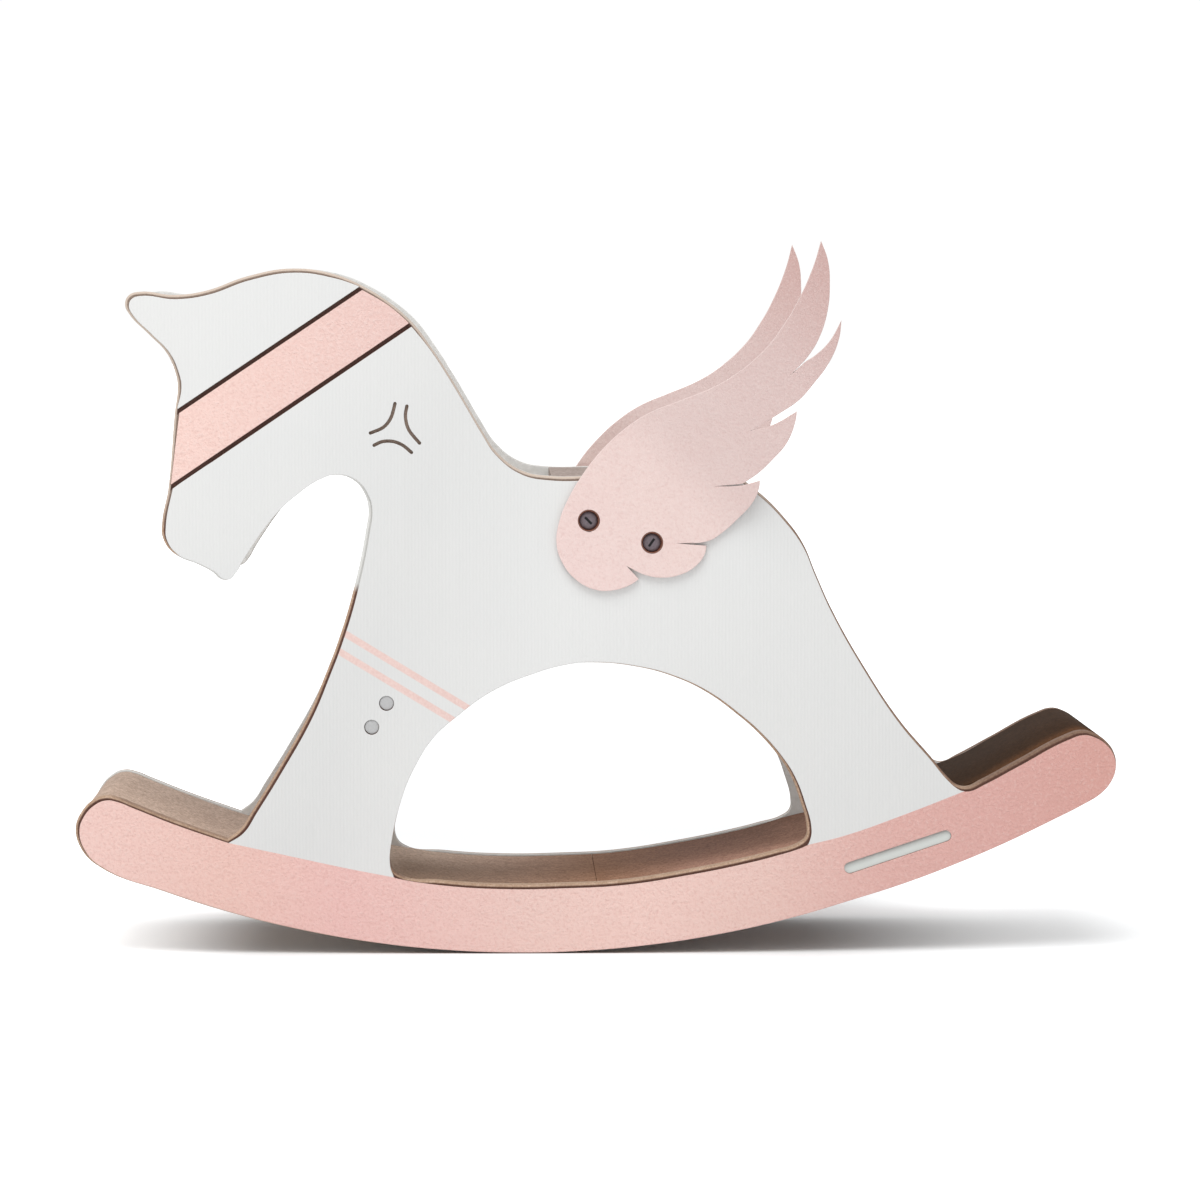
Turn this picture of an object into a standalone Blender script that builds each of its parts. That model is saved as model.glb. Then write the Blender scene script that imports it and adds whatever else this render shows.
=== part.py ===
"""Winged rocking horse: two mirror-image board sides joined by runner decks, a seat deck and rails.

Frame: nose towards -X, left side towards -Y, up is +Z, floor at Z = 0. Metres.
Outlines are written in millimetres, side view (x, z), and scaled on the way in.
"""

import math

import bmesh
import bpy

MM = 0.001

# ---- driving dimensions (mm) -------------------------------------------------
WIDTH_OVER_SIDES = 230.0  # outer skin face to outer skin face
CORE_T = 12.0             # side board
SKIN_T = 2.0              # white and pink facing on the side board
CORE_ROUND = 1.8          # round-over on the side board's edges
SKIN_INSET = 1.5          # facing stops short of the board's edge by this
SKIN_SHIFT = 1.15         # facing sits this much back and down on the board
GAP = 0.3                 # clearance between touching pieces
GROOVE = 2.7              # bare grooves either side of the bridle band
RUNNER_R = 715.0          # rocking radius of the runners
RUNNER_X = -50.0          # where the runner touches the floor
DECK_T = 5.0              # curved decks between the runners
DECK_DROP = 1.0           # how far the decks lie under the boards' edges
SEAT_T = 12.0             # seat board
RAIL_W = 30.0             # cross rails
WING_T = 3.5              # felt
WING_BEND_START = 258.0   # distance along the feathers where the wing leaves the side
WING_BEND_SLOPE = 0.40    # how steeply it leaves
SCREW_R = 5.8             # wing screw head
SHANK_R = 3.0             # wing screw shank
CUP_R = 7.1               # cup round the wing screw
CAP_R = 4.7               # leg cap

Y_SKIN = WIDTH_OVER_SIDES / 2.0          # outer face of the facing
Y_CORE = Y_SKIN - SKIN_T - GAP           # outer face of the board
Y_IN = Y_CORE - CORE_T                   # inner face of the board
HALF_IN = Y_IN - GAP                     # half length of everything between the boards

for old in list(bpy.data.objects):
    bpy.data.objects.remove(old, do_unlink=True)

ASSEMBLY = bpy.data.collections.new("rocking_horse")
bpy.context.scene.collection.children.link(ASSEMBLY)
CUTTERS = bpy.data.collections.new("cutters")
bpy.context.scene.collection.children.link(CUTTERS)


# ---- materials ---------------------------------------------------------------
def material(name, colour, rough, metal=0.0):
    mat = bpy.data.materials.new(name)
    mat.use_nodes = True
    bsdf = mat.node_tree.nodes["Principled BSDF"]
    bsdf.inputs["Base Color"].default_value = (*colour, 1.0)
    bsdf.inputs["Roughness"].default_value = rough
    bsdf.inputs["Metallic"].default_value = metal
    mat.diffuse_color = (*colour, 1.0)
    return mat


BOARD = (0.27, 0.19, 0.13)
WHITE = (0.80, 0.80, 0.79)
PINK = (0.87, 0.60, 0.54)
FELT = (0.80, 0.56, 0.53)


def finish(obj, name, colour, rough, metal=0.0):
    obj.name = name
    obj.data.name = name
    obj.data.materials.clear()
    obj.data.materials.append(material(name + "_mat", colour, rough, metal))
    ASSEMBLY.objects.link(obj)
    return obj


# ---- outlines ----------------------------------------------------------------
def arc_z(x, inset=0.0):
    """Height of the runner's underside, or of a line `inset` inside it, at x."""
    r = RUNNER_R - inset
    return RUNNER_R - math.sqrt(r * r - (x - RUNNER_X) ** 2)


def arc_run(x0, x1, n, inset=0.0):
    step = (x1 - x0) / (n - 1)
    return [(x0 + i * step, arc_z(x0 + i * step, inset)) for i in range(n)]


def corner(x, z):
    return (x, z, "corner")


GROOVE_UP = ((-156.0, 448.0), (-282.5, 363.0))      # upper bridle groove, crown to brow
GROOVE_LOW = ((-123.0, 423.5), (-287.0, 312.5))     # lower bridle groove, crown to nose

POLL_TOP = [
    (-312.8, 429.8), (-315.4, 436), (-313, 442), (-306.5, 444.4), (-283, 442.3), (-262, 445), (-233, 455),
    (-203, 460), (-175, 456),
]
POLL_FRONT = [(-280.5, 382), (-282.5, 392), (-288, 404), (-299.5, 416)]
CREST_MID = [(-139, 437.5)]
CREST = [(-111, 407.5), (-98, 387.5), (-88.5, 371.5), (-78, 353.5), (-67, 337), (-50, 324.5), (-32, 321)]
BACK = [(0, 321), (94, 320), (108, 311), (127, 292), (138.5, 276), (147, 256),
        (158, 231.5), (181, 191), (204, 156.5), (225, 132), (236.5, 118.2), (243.5, 112.4)]
CROUP = (249.8, 111.4)
TAIL = [(259, 115.6), (283, 128.5), (316, 146), (327, 149.3), (335, 147.5), (343.5, 142), (349, 133.5), (350, 125.5),
        (347, 116), (340, 107.5)]
KEEL = [(326, 98.8), (308, 89.7), (274, 73.3), (241, 59.3), (207, 46.5)] + list(reversed(arc_run(-336, 174, 12)))
TOE = [(-346.5, 71), (-350, 84), (-347, 94), (-338, 103.5), (-330, 106.3), (-322, 105), (-312, 101),
       (-284.5, 90)]
HEEL = (-248, 77)
CHEST = [(-239.5, 83.5), (-231, 96.5), (-214, 124), (-193, 161.5), (-181.5, 189), (-173.5, 210),
         (-163.5, 243), (-154.5, 286), (-153, 299), (-155.5, 309), (-163, 318.3), (-174.5, 321.7),
         (-184, 319.4), (-202, 307.6), (-213, 297.6), (-222.1, 286.8), (-231.2, 273.7), (-236.8, 264.9),
         (-242, 256), (-246.5, 251.7), (-251.5, 251.7),
         (-258, 257), (-266.5, 261.5), (-283, 269), (-290.5, 279), (-291.3, 289)]
BROW = [(-282.5, 363)]

# leg arch: up the front leg, over, down the rear leg, then back along the runner's top edge
ARCH_OVER = [
    (-138.4, 60), (-136.6, 81), (-130, 107), (-122.5, 125), (-109.5, 145.5), (-94, 159.5),
    (-71, 176), (-45, 187.3), (-19.5, 194.3), (-2, 195.7), (28, 192.7), (51, 186.5), (73.5, 176),
    (95.5, 160), (108.5, 148.5), (122.5, 132.5), (130.5, 120), (137.5, 102), (141.9, 84), (141, 77.6),
]
ARCH_FLOOR = [(135.6, 73.1), (119, 68), (100, 63.2), (62, 55.5), (16, 48.5), (-22, 46.5), (-63, 46), (-104, 48.5), (-133, 52.8)]

# where the white facing meets the pink one, either side of the arch
SEAM_FRONT = [corner(-247.2, 74.7), (-209, 66.4), (-169, 57.7), corner(-136.2, 51.3)]
SEAM_REAR = [corner(142.1, 72.7), (166, 78.6), (206, 92.6), corner(247.4, 108.7)]

# the decks' own line where it runs on behind the legs
RUN_UNDER_REAR = [(165, 79.5), (205, 93.5)]
RUN_UNDER_FRONT = [(-170, 59.8), (-210, 67.7)]

SIDE = (POLL_TOP + [GROOVE_UP[0]] + CREST_MID + [GROOVE_LOW[0]] + CREST + BACK + [CROUP] + TAIL + KEEL
        + TOE + [corner(*HEEL)] + CHEST + [GROOVE_LOW[1]] + BROW + POLL_FRONT)

SLOT = ((170.5, 57.2), (235.0, 78.7))
SLOT_W = 7.4
CAPS = ((-141.0, 168.6), (-151.0, 152.5))
WING_SCREWS = ((-5.2, 291.3), (37.2, 276.5))
EYE = (
    ((-135.0, 369.7), (-137.6, 360.5), (-142.7, 353.9), (-151.5, 350.0)),
    ((-127.0, 368.0), (-128.0, 361.0), (-125.8, 352.2), (-118.6, 343.3)),
    ((-149.0, 341.8), (-143.3, 344.3), (-136.0, 344.3), (-129.5, 341.6), (-124.0, 337.0)),
)
EYE_W = 2.2

WING = [
    (-27, 276.5), (-25, 291), (-20, 304), (-8.5, 323.5), (3, 338), (19, 353), (35, 363.5),
    (55.5, 372), (75.2, 380), (90.8, 389), (111, 406.5), (122.2, 421.5), (130.2, 435), (141.5, 461),
    corner(146.3, 478), (151, 465), (152.5, 449.5), (151.3, 431.5), (146.2, 414), (139.6, 402.4),
    corner(129, 390.3), (137.6, 398.2), (144, 402.6), (153, 411.8), corner(160.5, 425.7), (159.2, 413.8), (153.2, 398),
    (142.7, 383), (133.6, 372.4), (123, 364.8), corner(102.5, 352), (116.7, 356), corner(132.5, 365.2),
    (131.8, 359), (126.2, 343.8), (117, 332.6), (107.6, 323.3), corner(97.6, 316.3), corner(79.3, 314.4),
    (95.7, 315), corner(109, 318.5), (108.2, 312.7), (104.7, 304.3), (95, 293), (84, 283), (75, 277.6),
    corner(54, 276), corner(73.8, 274.4), (72.3, 268.3), (66, 260.3), (55, 254.6), (43.3, 253),
    (32.5, 254.8), corner(20.3, 260.6), corner(28.3, 252), (22.3, 248), (11, 244.5), (-0.5, 244.8),
    (-13.5, 251.3), (-23.3, 263.5),
]

# curved decks: flush with the runners' top edges, wrapped over toe and tail
SEAM_X = 0.5

def inset_run(run, d, sx=0.0, sz=0.0, closed=False):
    """Points moved d to the right of the way they run, then shifted. Corners keep their mark."""
    out = []
    n = len(run)
    for i, p in enumerate(run):
        a = run[i - 1] if (closed or i > 0) else None
        b = run[(i + 1) % n] if (closed or i < n - 1) else None
        dirs = []
        for u, v in ((a, p), (p, b)):
            if u is not None and v is not None:
                m = math.hypot(v[0] - u[0], v[1] - u[1])
                dirs.append(((v[0] - u[0]) / m, (v[1] - u[1]) / m))
        tx, tz = sum(t[0] for t in dirs), sum(t[1] for t in dirs)
        m = math.hypot(tx, tz)
        tx, tz = tx / m, tz / m
        reach = d
        if len(p) == 3 and len(dirs) == 2:
            reach = min(d / max(tx * dirs[0][0] + tz * dirs[0][1], 0.35), 2.2 * d)
        out.append((p[0] + tz * reach + sx, p[1] - tx * reach + sz) + tuple(p[2:]))
    return out


def deck_lines():
    """Top lines of the two decks: just under the panels' edges, flush at the tail."""
    front = ([(-349.6, 86)] + TOE[2:] + [HEEL] + list(reversed(RUN_UNDER_FRONT)) + list(reversed(ARCH_FLOOR[5:]))
             + [(SEAM_X - GAP / 2, 47.3)])
    rear = inset_run([(SEAM_X + GAP / 2, 47.3)] + list(reversed(ARCH_FLOOR[:5])), DECK_DROP)
    return inset_run(front, DECK_DROP), rear + RUN_UNDER_REAR + [(240, 108.5), (259, 115.6)] + TAIL[1:7]


def groove_side(line, side, inner_a=1.8, inner_b=2.8):
    """The edge of a facing along one side of a bridle groove: crown end first."""
    (ax, az), (bx, bz) = line
    m = math.hypot(bx - ax, bz - az)
    ux, uz = (bx - ax) / m, (bz - az) / m
    ox, oz = uz * side * GROOVE / 2.0, -ux * side * GROOVE / 2.0
    return (corner(ax + ux * inner_a + ox, az + uz * inner_a + oz),
            corner(bx - ux * inner_b + ox, bz - uz * inner_b + oz))


def facings():
    """Outlines of the four facing sheets of one side."""
    d, sx, sz = SKIN_INSET, SKIN_SHIFT, -SKIN_SHIFT
    up_hi, up_lo = groove_side(GROOVE_UP, -1.0), groove_side(GROOVE_UP, 1.0)
    lo_hi, lo_lo = groove_side(GROOVE_LOW, -1.0), groove_side(GROOVE_LOW, 1.0)
    if up_hi[0][1] < up_lo[0][1]:
        up_hi, up_lo, lo_hi, lo_lo = up_lo, up_hi, lo_lo, lo_hi
    poll = inset_run(POLL_FRONT + POLL_TOP, d, sx, sz) + [up_hi[0], up_hi[1]]
    band = [up_lo[0]] + inset_run([GROOVE_UP[0]] + CREST_MID + [GROOVE_LOW[0]], d, sx, sz)[1:2] + [
        lo_hi[0], lo_hi[1], up_lo[1]]
    lift = GAP / 2.0
    runner = ([(p[0], p[1] - lift) + tuple(p[2:]) for p in SEAM_FRONT] + inset_run(list(reversed(ARCH_FLOOR)), d, sx, sz)
              + [(p[0], p[1] - lift) + tuple(p[2:]) for p in SEAM_REAR] + inset_run([CROUP] + TAIL + KEEL + TOE, d, sx, sz))
    body = ([lo_lo[0]] + inset_run([GROOVE_LOW[0]] + CREST + BACK, d, sx, sz)[1:]
            + [(p[0], p[1] + lift) + tuple(p[2:]) for p in reversed(SEAM_REAR)]
            + inset_run(list(reversed(ARCH_OVER)), d, sx, sz)
            + [(p[0], p[1] + lift) + tuple(p[2:]) for p in reversed(SEAM_FRONT)]
            + inset_run(CHEST + [GROOVE_LOW[1]], d, sx, sz)[:-1] + [lo_lo[1]])
    return poll, band, body, runner


def circle(cx, cz, r, n=14):
    return [(cx + r * math.cos(2 * math.pi * i / n), cz + r * math.sin(2 * math.pi * i / n)) for i in range(n)]


def slot_round(path, width, cap=4):
    """Closed outline of constant width, round-ended, about an open path."""
    r = width / 2.0
    tang = []
    for i in range(len(path)):
        a, b = path[max(i - 1, 0)], path[min(i + 1, len(path) - 1)]
        d = math.hypot(b[0] - a[0], b[1] - a[1])
        tang.append(((b[0] - a[0]) / d, (b[1] - a[1]) / d))
    left = [(p[0] - t[1] * r, p[1] + t[0] * r) for p, t in zip(path, tang)]
    right = [(p[0] + t[1] * r, p[1] - t[0] * r) for p, t in zip(path, tang)]

    def end(p, t, start):
        a0 = math.atan2(t[0], -t[1]) + start
        return [(p[0] + r * math.cos(a0 - math.pi * k / cap), p[1] + r * math.sin(a0 - math.pi * k / cap))
                for k in range(1, cap)]

    return left + end(path[-1], tang[-1], 0.0) + list(reversed(right)) + end(path[0], tang[0], math.pi)


def add_spline(curve, points, smooth):
    if smooth:
        sp = curve.splines.new("BEZIER")
        sp.bezier_points.add(len(points) - 1)
        for bp, p in zip(sp.bezier_points, points):
            bp.co = (p[0] * MM, p[1] * MM, 0.0)
        for bp, p in zip(sp.bezier_points, points):
            kind = "VECTOR" if len(p) == 3 else "AUTO"
            bp.handle_left_type = kind
            bp.handle_right_type = kind
    else:
        sp = curve.splines.new("POLY")
        sp.points.add(len(points) - 1)
        for bp, p in zip(sp.points, points):
            bp.co = (p[0] * MM, p[1] * MM, 0.0, 1.0)
    sp.use_cyclic_u = True


def plate(outline, holes, y_mid, thick, res=2):
    """Flat piece standing in the XZ plane, centred on y_mid, as one welded mesh."""
    curve = bpy.data.curves.new("outline", "CURVE")
    curve.dimensions = "2D"
    curve.fill_mode = "BOTH"
    curve.resolution_u = res
    curve.extrude = thick * MM / 2.0
    add_spline(curve, outline, True)
    for hole, smooth in holes:
        add_spline(curve, hole, smooth)
    temp = bpy.data.objects.new("temp", curve)
    bpy.context.scene.collection.objects.link(temp)
    temp.rotation_euler = (math.pi / 2.0, 0.0, 0.0)
    temp.location = (0.0, y_mid * MM, 0.0)
    bpy.context.view_layer.update()
    graph = bpy.context.evaluated_depsgraph_get()
    mesh = bpy.data.meshes.new_from_object(temp.evaluated_get(graph))
    place = temp.matrix_world.copy()
    bpy.data.objects.remove(temp, do_unlink=True)
    bm = bmesh.new()
    bm.from_mesh(mesh)
    bmesh.ops.remove_doubles(bm, verts=bm.verts, dist=0.00002)
    bmesh.ops.dissolve_degenerate(bm, edges=bm.edges, dist=0.00002)
    bmesh.ops.recalc_face_normals(bm, faces=bm.faces)
    bm.to_mesh(mesh)
    bm.free()
    obj = bpy.data.objects.new("plate", mesh)
    obj.matrix_world = place
    return obj


def edge_round(obj, width, segments=1):
    mod = obj.modifiers.new("round", "BEVEL")
    mod.width = width * MM
    mod.segments = segments
    mod.limit_method = "ANGLE"
    mod.angle_limit = math.radians(50)
    mod.use_clamp_overlap = False
    return obj


def rim_round(obj, sign):
    """Round-over on a side board's rims: full width outside, a third of it inside."""
    bm = bmesh.new()
    bm.from_mesh(obj.data)
    weight = bm.edges.layers.float.new("bevel_weight_edge")
    for e in bm.edges:
        z0, z1 = (v.co.z for v in e.verts)
        facing = sorted(abs(f.normal.z) for f in e.link_faces)
        if abs(z0 - z1) < 1e-6 and facing[0] < 0.1 and facing[-1] > 0.9:
            e[weight] = 1.0 if z0 * -sign > 0.0 else 0.35
    bm.to_mesh(obj.data)
    bm.free()
    edge_round(obj, CORE_ROUND).modifiers["round"].limit_method = "WEIGHT"
    return obj


def block(size, centre, lean=0.0, round_mm=1.5):
    """Rectangular bar or board; lean turns it about the sideways axis."""
    mesh = bpy.data.meshes.new("block")
    bm = bmesh.new()
    bmesh.ops.create_cube(bm, size=1.0)
    bmesh.ops.scale(bm, vec=[d * MM for d in size], verts=bm.verts)
    bm.to_mesh(mesh)
    bm.free()
    obj = bpy.data.objects.new("block", mesh)
    obj.location = [c * MM for c in centre]
    obj.rotation_euler = (0.0, lean, 0.0)
    return edge_round(obj, round_mm) if round_mm else obj


def turned(profile, cx, cz, sign, n, ring=False):
    """Turned piece on a sideways axis. profile: (radius, distance from the centre plane),
    running from the outer end down its outer side."""
    mesh = bpy.data.meshes.new("turned")
    bm = bmesh.new()
    verts = [bm.verts.new((r * MM, 0.0, y * MM)) for r, y in profile]
    for a, b in zip(verts, verts[1:]):
        bm.edges.new((a, b))
    if ring:
        bm.edges.new((verts[-1], verts[0]))
    bm.to_mesh(mesh)
    bm.free()
    obj = bpy.data.objects.new("turned", mesh)
    obj.location = (cx * MM, 0.0, cz * MM)
    obj.rotation_euler = (-sign * math.pi / 2.0, 0.0, 0.0)
    mod = obj.modifiers.new("turn", "SCREW")
    mod.axis = "Z"
    mod.steps = mod.render_steps = n
    mod.use_merge_vertices = True
    mod.merge_threshold = 0.00001
    mod.use_smooth_shade = True
    return obj


def slotted_dome(cx, cz, sign, y_base, r, rise, slot_deg):
    """Domed screw head with a straight driver slot, on a plain shank."""
    rim = y_base + 0.8
    prof = [(0.0, rim + rise)]
    for deg in (66.0, 42.0, 20.0):
        a = math.radians(deg)
        prof.append((r * math.cos(a), rim + rise * math.sin(a)))
    prof += [(r, rim), (r, y_base), (SHANK_R, y_base), (SHANK_R, Y_IN + 0.5), (0.0, Y_IN + 0.5)]
    head = turned(prof, cx, cz, sign, 16)
    cut = block((6.4, 2.4, 1.7), (cx, sign * (rim + rise), cz), -math.radians(slot_deg), 0.0)
    cut.name = "driver_slot_cutter"
    cut.hide_render = True
    cut.display_type = "WIRE"
    CUTTERS.objects.link(cut)
    mod = head.modifiers.new("driver_slot", "BOOLEAN")
    mod.operation = "DIFFERENCE"
    mod.solver = "EXACT"
    mod.object = cut
    return head


def wing_out(x, z):
    """How far the wing stands off the side, from the distance along its feathers."""
    s = (x + z) * math.sqrt(0.5) - WING_BEND_START
    if s <= 0.0:
        return 0.0
    ease = 24.0
    if s < ease:
        return WING_BEND_SLOPE * s * s / (2.0 * ease)
    return WING_BEND_SLOPE * (s - ease / 2.0)


def wing(sign, holes):
    y0 = Y_SKIN + GAP
    obj = plate(WING, holes, sign * (y0 + WING_T / 2.0), WING_T, res=3)
    bm = bmesh.new()
    bm.from_mesh(obj.data)
    d = math.sqrt(0.5)
    for s in (0.0, 6.0, 12.0, 18.0, 24.0):
        along = (WING_BEND_START + s) * MM
        bmesh.ops.bisect_plane(bm, geom=bm.verts[:] + bm.edges[:] + bm.faces[:],
                               plane_co=(along * d, along * d, 0.0), plane_no=(d, d, 0.0))
    for v in bm.verts:  # the piece's own Y is up and its own Z is towards the left side
        v.co.z -= sign * wing_out(v.co.x / MM, v.co.y / MM) * MM
    bm.to_mesh(obj.data)
    bm.free()
    return obj


# ---- one side ----------------------------------------------------------------
def build_side(tag, sign):
    yc = sign * (Y_CORE - CORE_T / 2.0)
    ys = sign * (Y_SKIN - SKIN_T / 2.0)
    poll, band, body, runner = facings()

    drilled = [(circle(x, z, SHANK_R + GAP, 10), False) for x, z in WING_SCREWS]
    core = plate(SIDE, [(ARCH_OVER + ARCH_FLOOR, True)] + drilled, yc, CORE_T)
    finish(rim_round(core, sign), tag + "_side_core", BOARD, 0.8)

    finish(plate(poll, [], ys, SKIN_T), tag + "_poll_skin", WHITE, 0.7)
    finish(plate(band, [], ys, SKIN_T), tag + "_bridle_band", PINK, 0.9)

    holes = [(slot_round(e, EYE_W), False) for e in EYE]
    holes += [(circle(x, z, CAP_R + GAP), False) for x, z in CAPS]
    holes += [(circle(x, z, CUP_R + GAP), False) for x, z in WING_SCREWS]
    finish(plate(body, holes, ys, SKIN_T), tag + "_body_skin", WHITE, 0.7)
    finish(plate(runner, [(slot_round(SLOT, SLOT_W), False)], ys, SKIN_T), tag + "_runner_skin", PINK, 0.7)

    floor_t = 0.8
    insert = plate([(p[0], p[1], "corner") for p in slot_round(SLOT, SLOT_W - 2 * GAP)], [],
                   sign * (Y_CORE + GAP + floor_t / 2.0), floor_t, res=1)
    finish(insert, tag + "_slot_insert", WHITE, 0.6)

    finish(wing(sign, [(circle(x, z, CUP_R + GAP), False) for x, z in WING_SCREWS]),
           tag + "_wing", FELT, 0.95)

    for (x, z), place, deg in zip(WING_SCREWS, ("front", "rear"), (-45.0, 55.0)):
        # cup washer: a shallow dish let in through the felt and the facing
        y0 = Y_CORE + GAP
        y1 = Y_SKIN + GAP + WING_T
        cup = turned([(CUP_R, y1 - 0.2), (CUP_R, y0), (3.4, y0), (3.4, y0 + 1.2), (CUP_R - 1.0, y0 + 1.2),
                      (CUP_R - 0.8, y1 - 0.2)], x, z, sign, 18, ring=True)
        finish(cup, tag + "_" + place + "_screw_cup", (0.30, 0.17, 0.11), 0.6)
        head = slotted_dome(x, z, sign, y0 + 1.2 + GAP, SCREW_R, 1.7, deg * sign)
        finish(head, tag + "_" + place + "_wing_screw", (0.16, 0.15, 0.16), 0.4, 0.9)

    for (x, z), place in zip(CAPS, ("upper", "lower")):
        y0 = Y_CORE + GAP
        cap = turned([(0.0, y0 + 1.3), (CAP_R - 0.6, y0 + 1.3), (CAP_R, y0 + 0.9), (CAP_R, y0), (0.0, y0)],
                     x, z, sign, 20)
        finish(cap, tag + "_" + place + "_leg_cap", (0.62, 0.62, 0.62), 0.45)


build_side("left", -1.0)
build_side("right", 1.0)


# ---- between the sides --------------------------------------------------------
def deck(points):
    """Curved board across the runners: an open run of points, thickened downwards."""
    low = []
    for i, (x, z) in enumerate(points):
        a, b = points[max(i - 1, 0)], points[min(i + 1, len(points) - 1)]
        d = math.hypot(b[0] - a[0], b[1] - a[1])
        low.append((x + (b[1] - a[1]) / d * DECK_T, z - (b[0] - a[0]) / d * DECK_T))
    ring = ([corner(*points[0])] + points[1:-1] + [corner(*points[-1]), corner(*low[-1])]
            + list(reversed(low[1:-1])) + [corner(*low[0])])
    return plate(ring, [], 0.0, 2.0 * HALF_IN, res=2)


front_line, rear_line = deck_lines()
finish(deck(front_line), "front_runner_deck", (0.36, 0.29, 0.24), 0.85)
finish(deck(rear_line), "rear_runner_deck", (0.36, 0.29, 0.24), 0.85)

SEAT_TOP = 320.6
SEAT_X0, SEAT_X1 = -30.0, 96.0
seat = block((SEAT_X1 - SEAT_X0, 2.0 * HALF_IN, SEAT_T), ((SEAT_X0 + SEAT_X1) / 2, 0.0, SEAT_TOP - SEAT_T / 2),
             round_mm=3.0)
finish(seat, "seat_deck", (0.42, 0.36, 0.31), 0.8)

for (x, z), place in zip(WING_SCREWS, ("front", "rear")):
    top, low = SEAT_TOP - SEAT_T - GAP, z - 16.0
    rail = block((RAIL_W, 2.0 * HALF_IN, top - low), (x, 0.0, (top + low) / 2))
    finish(rail, place + "_seat_rail", (0.45, 0.33, 0.22), 0.7)

(cap_x0, cap_z0), (cap_x1, cap_z1) = CAPS
rail = block((28.0, 2.0 * HALF_IN, 40.0), ((cap_x0 + cap_x1) / 2, 0.0, (cap_z0 + cap_z1) / 2),
             lean=math.atan2(cap_x0 - cap_x1, cap_z0 - cap_z1))
finish(rail, "leg_rail", (0.45, 0.33, 0.22), 0.7)

bpy.context.view_layer.update()
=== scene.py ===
import math

import bmesh
import bpy
from mathutils import Matrix, Vector


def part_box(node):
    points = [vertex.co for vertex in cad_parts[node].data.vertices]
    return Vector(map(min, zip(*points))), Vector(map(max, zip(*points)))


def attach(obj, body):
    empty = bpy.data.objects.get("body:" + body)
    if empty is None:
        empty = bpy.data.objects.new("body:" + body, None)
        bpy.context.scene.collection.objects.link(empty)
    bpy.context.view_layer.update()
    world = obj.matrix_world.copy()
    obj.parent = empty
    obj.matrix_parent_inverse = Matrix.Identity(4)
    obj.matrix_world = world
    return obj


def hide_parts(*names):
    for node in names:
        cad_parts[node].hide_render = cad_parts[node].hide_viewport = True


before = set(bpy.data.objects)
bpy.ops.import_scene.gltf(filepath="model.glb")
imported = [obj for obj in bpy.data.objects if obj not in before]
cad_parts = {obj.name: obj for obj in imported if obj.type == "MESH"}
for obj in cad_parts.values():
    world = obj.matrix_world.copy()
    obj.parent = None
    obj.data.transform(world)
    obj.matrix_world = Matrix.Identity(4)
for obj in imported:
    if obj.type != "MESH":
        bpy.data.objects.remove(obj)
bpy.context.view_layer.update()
BODY = "root"
MM = 0.001

# ------------------------------------------------------------------ sizes (mm)
WIDTH_OVER_SIDES = 230.0
CORE_T = 12.0
SKIN_T = 2.0
CORE_ROUND = 1.8
SKIN_INSET = 1.5
SKIN_SHIFT = 1.15
GAP = 0.3
GROOVE = 2.7
RUNNER_R = 715.0
RUNNER_X = -50.0
DECK_T = 5.0
DECK_DROP = 1.0
WING_T = 3.5
WING_BEND_START = 258.0
WING_BEND_SLOPE = 0.40
SCREW_R = 5.8
SHANK_R = 3.0
CUP_R = 7.1
CAP_R = 4.7
Y_SKIN = WIDTH_OVER_SIDES / 2.0
Y_CORE = Y_SKIN - SKIN_T - GAP
Y_IN = Y_CORE - CORE_T
HALF_IN = Y_IN - GAP

PIECES = bpy.data.collections.new("rocking_horse_looks")
bpy.context.scene.collection.children.link(PIECES)


def corner(x, z):
    return (x, z, "corner")


def arc_z(x, inset=0.0):
    r = RUNNER_R - inset
    return RUNNER_R - math.sqrt(r * r - (x - RUNNER_X) ** 2)


def arc_run(x0, x1, n, inset=0.0):
    step = (x1 - x0) / (n - 1)
    return [(x0 + i * step, arc_z(x0 + i * step, inset)) for i in range(n)]


GROOVE_UP = ((-156.0, 448.0), (-282.5, 363.0))
GROOVE_LOW = ((-123.0, 423.5), (-287.0, 312.5))
POLL_TOP = [
    (-312.8, 429.8), (-315.4, 436), (-313, 442), (-306.5, 444.4), (-283, 442.3), (-262, 445), (-233, 455),
    (-203, 460), (-175, 456),
]
POLL_FRONT = [(-280.5, 382), (-282.5, 392), (-288, 404), (-299.5, 416)]
CREST_MID = [(-139, 437.5)]
CREST = [(-111, 407.5), (-98, 387.5), (-88.5, 371.5), (-78, 353.5), (-67, 337), (-50, 324.5), (-32, 321)]
BACK = [(0, 321), (94, 320), (108, 311), (127, 292), (138.5, 276), (147, 256),
        (158, 231.5), (181, 191), (204, 156.5), (225, 132), (236.5, 118.2), (243.5, 112.4)]
CROUP = (249.8, 111.4)
TAIL = [(259, 115.6), (283, 128.5), (316, 146), (327, 149.3), (335, 147.5), (343.5, 142), (349, 133.5), (350, 125.5),
        (347, 116), (340, 107.5)]
KEEL = [(326, 98.8), (308, 89.7), (274, 73.3), (241, 59.3), (207, 46.5)] + list(reversed(arc_run(-336, 174, 12)))
TOE = [(-346.5, 71), (-350, 84), (-347, 94), (-338, 103.5), (-330, 106.3), (-322, 105), (-312, 101),
       (-284.5, 90)]
HEEL = (-248, 77)
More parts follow.
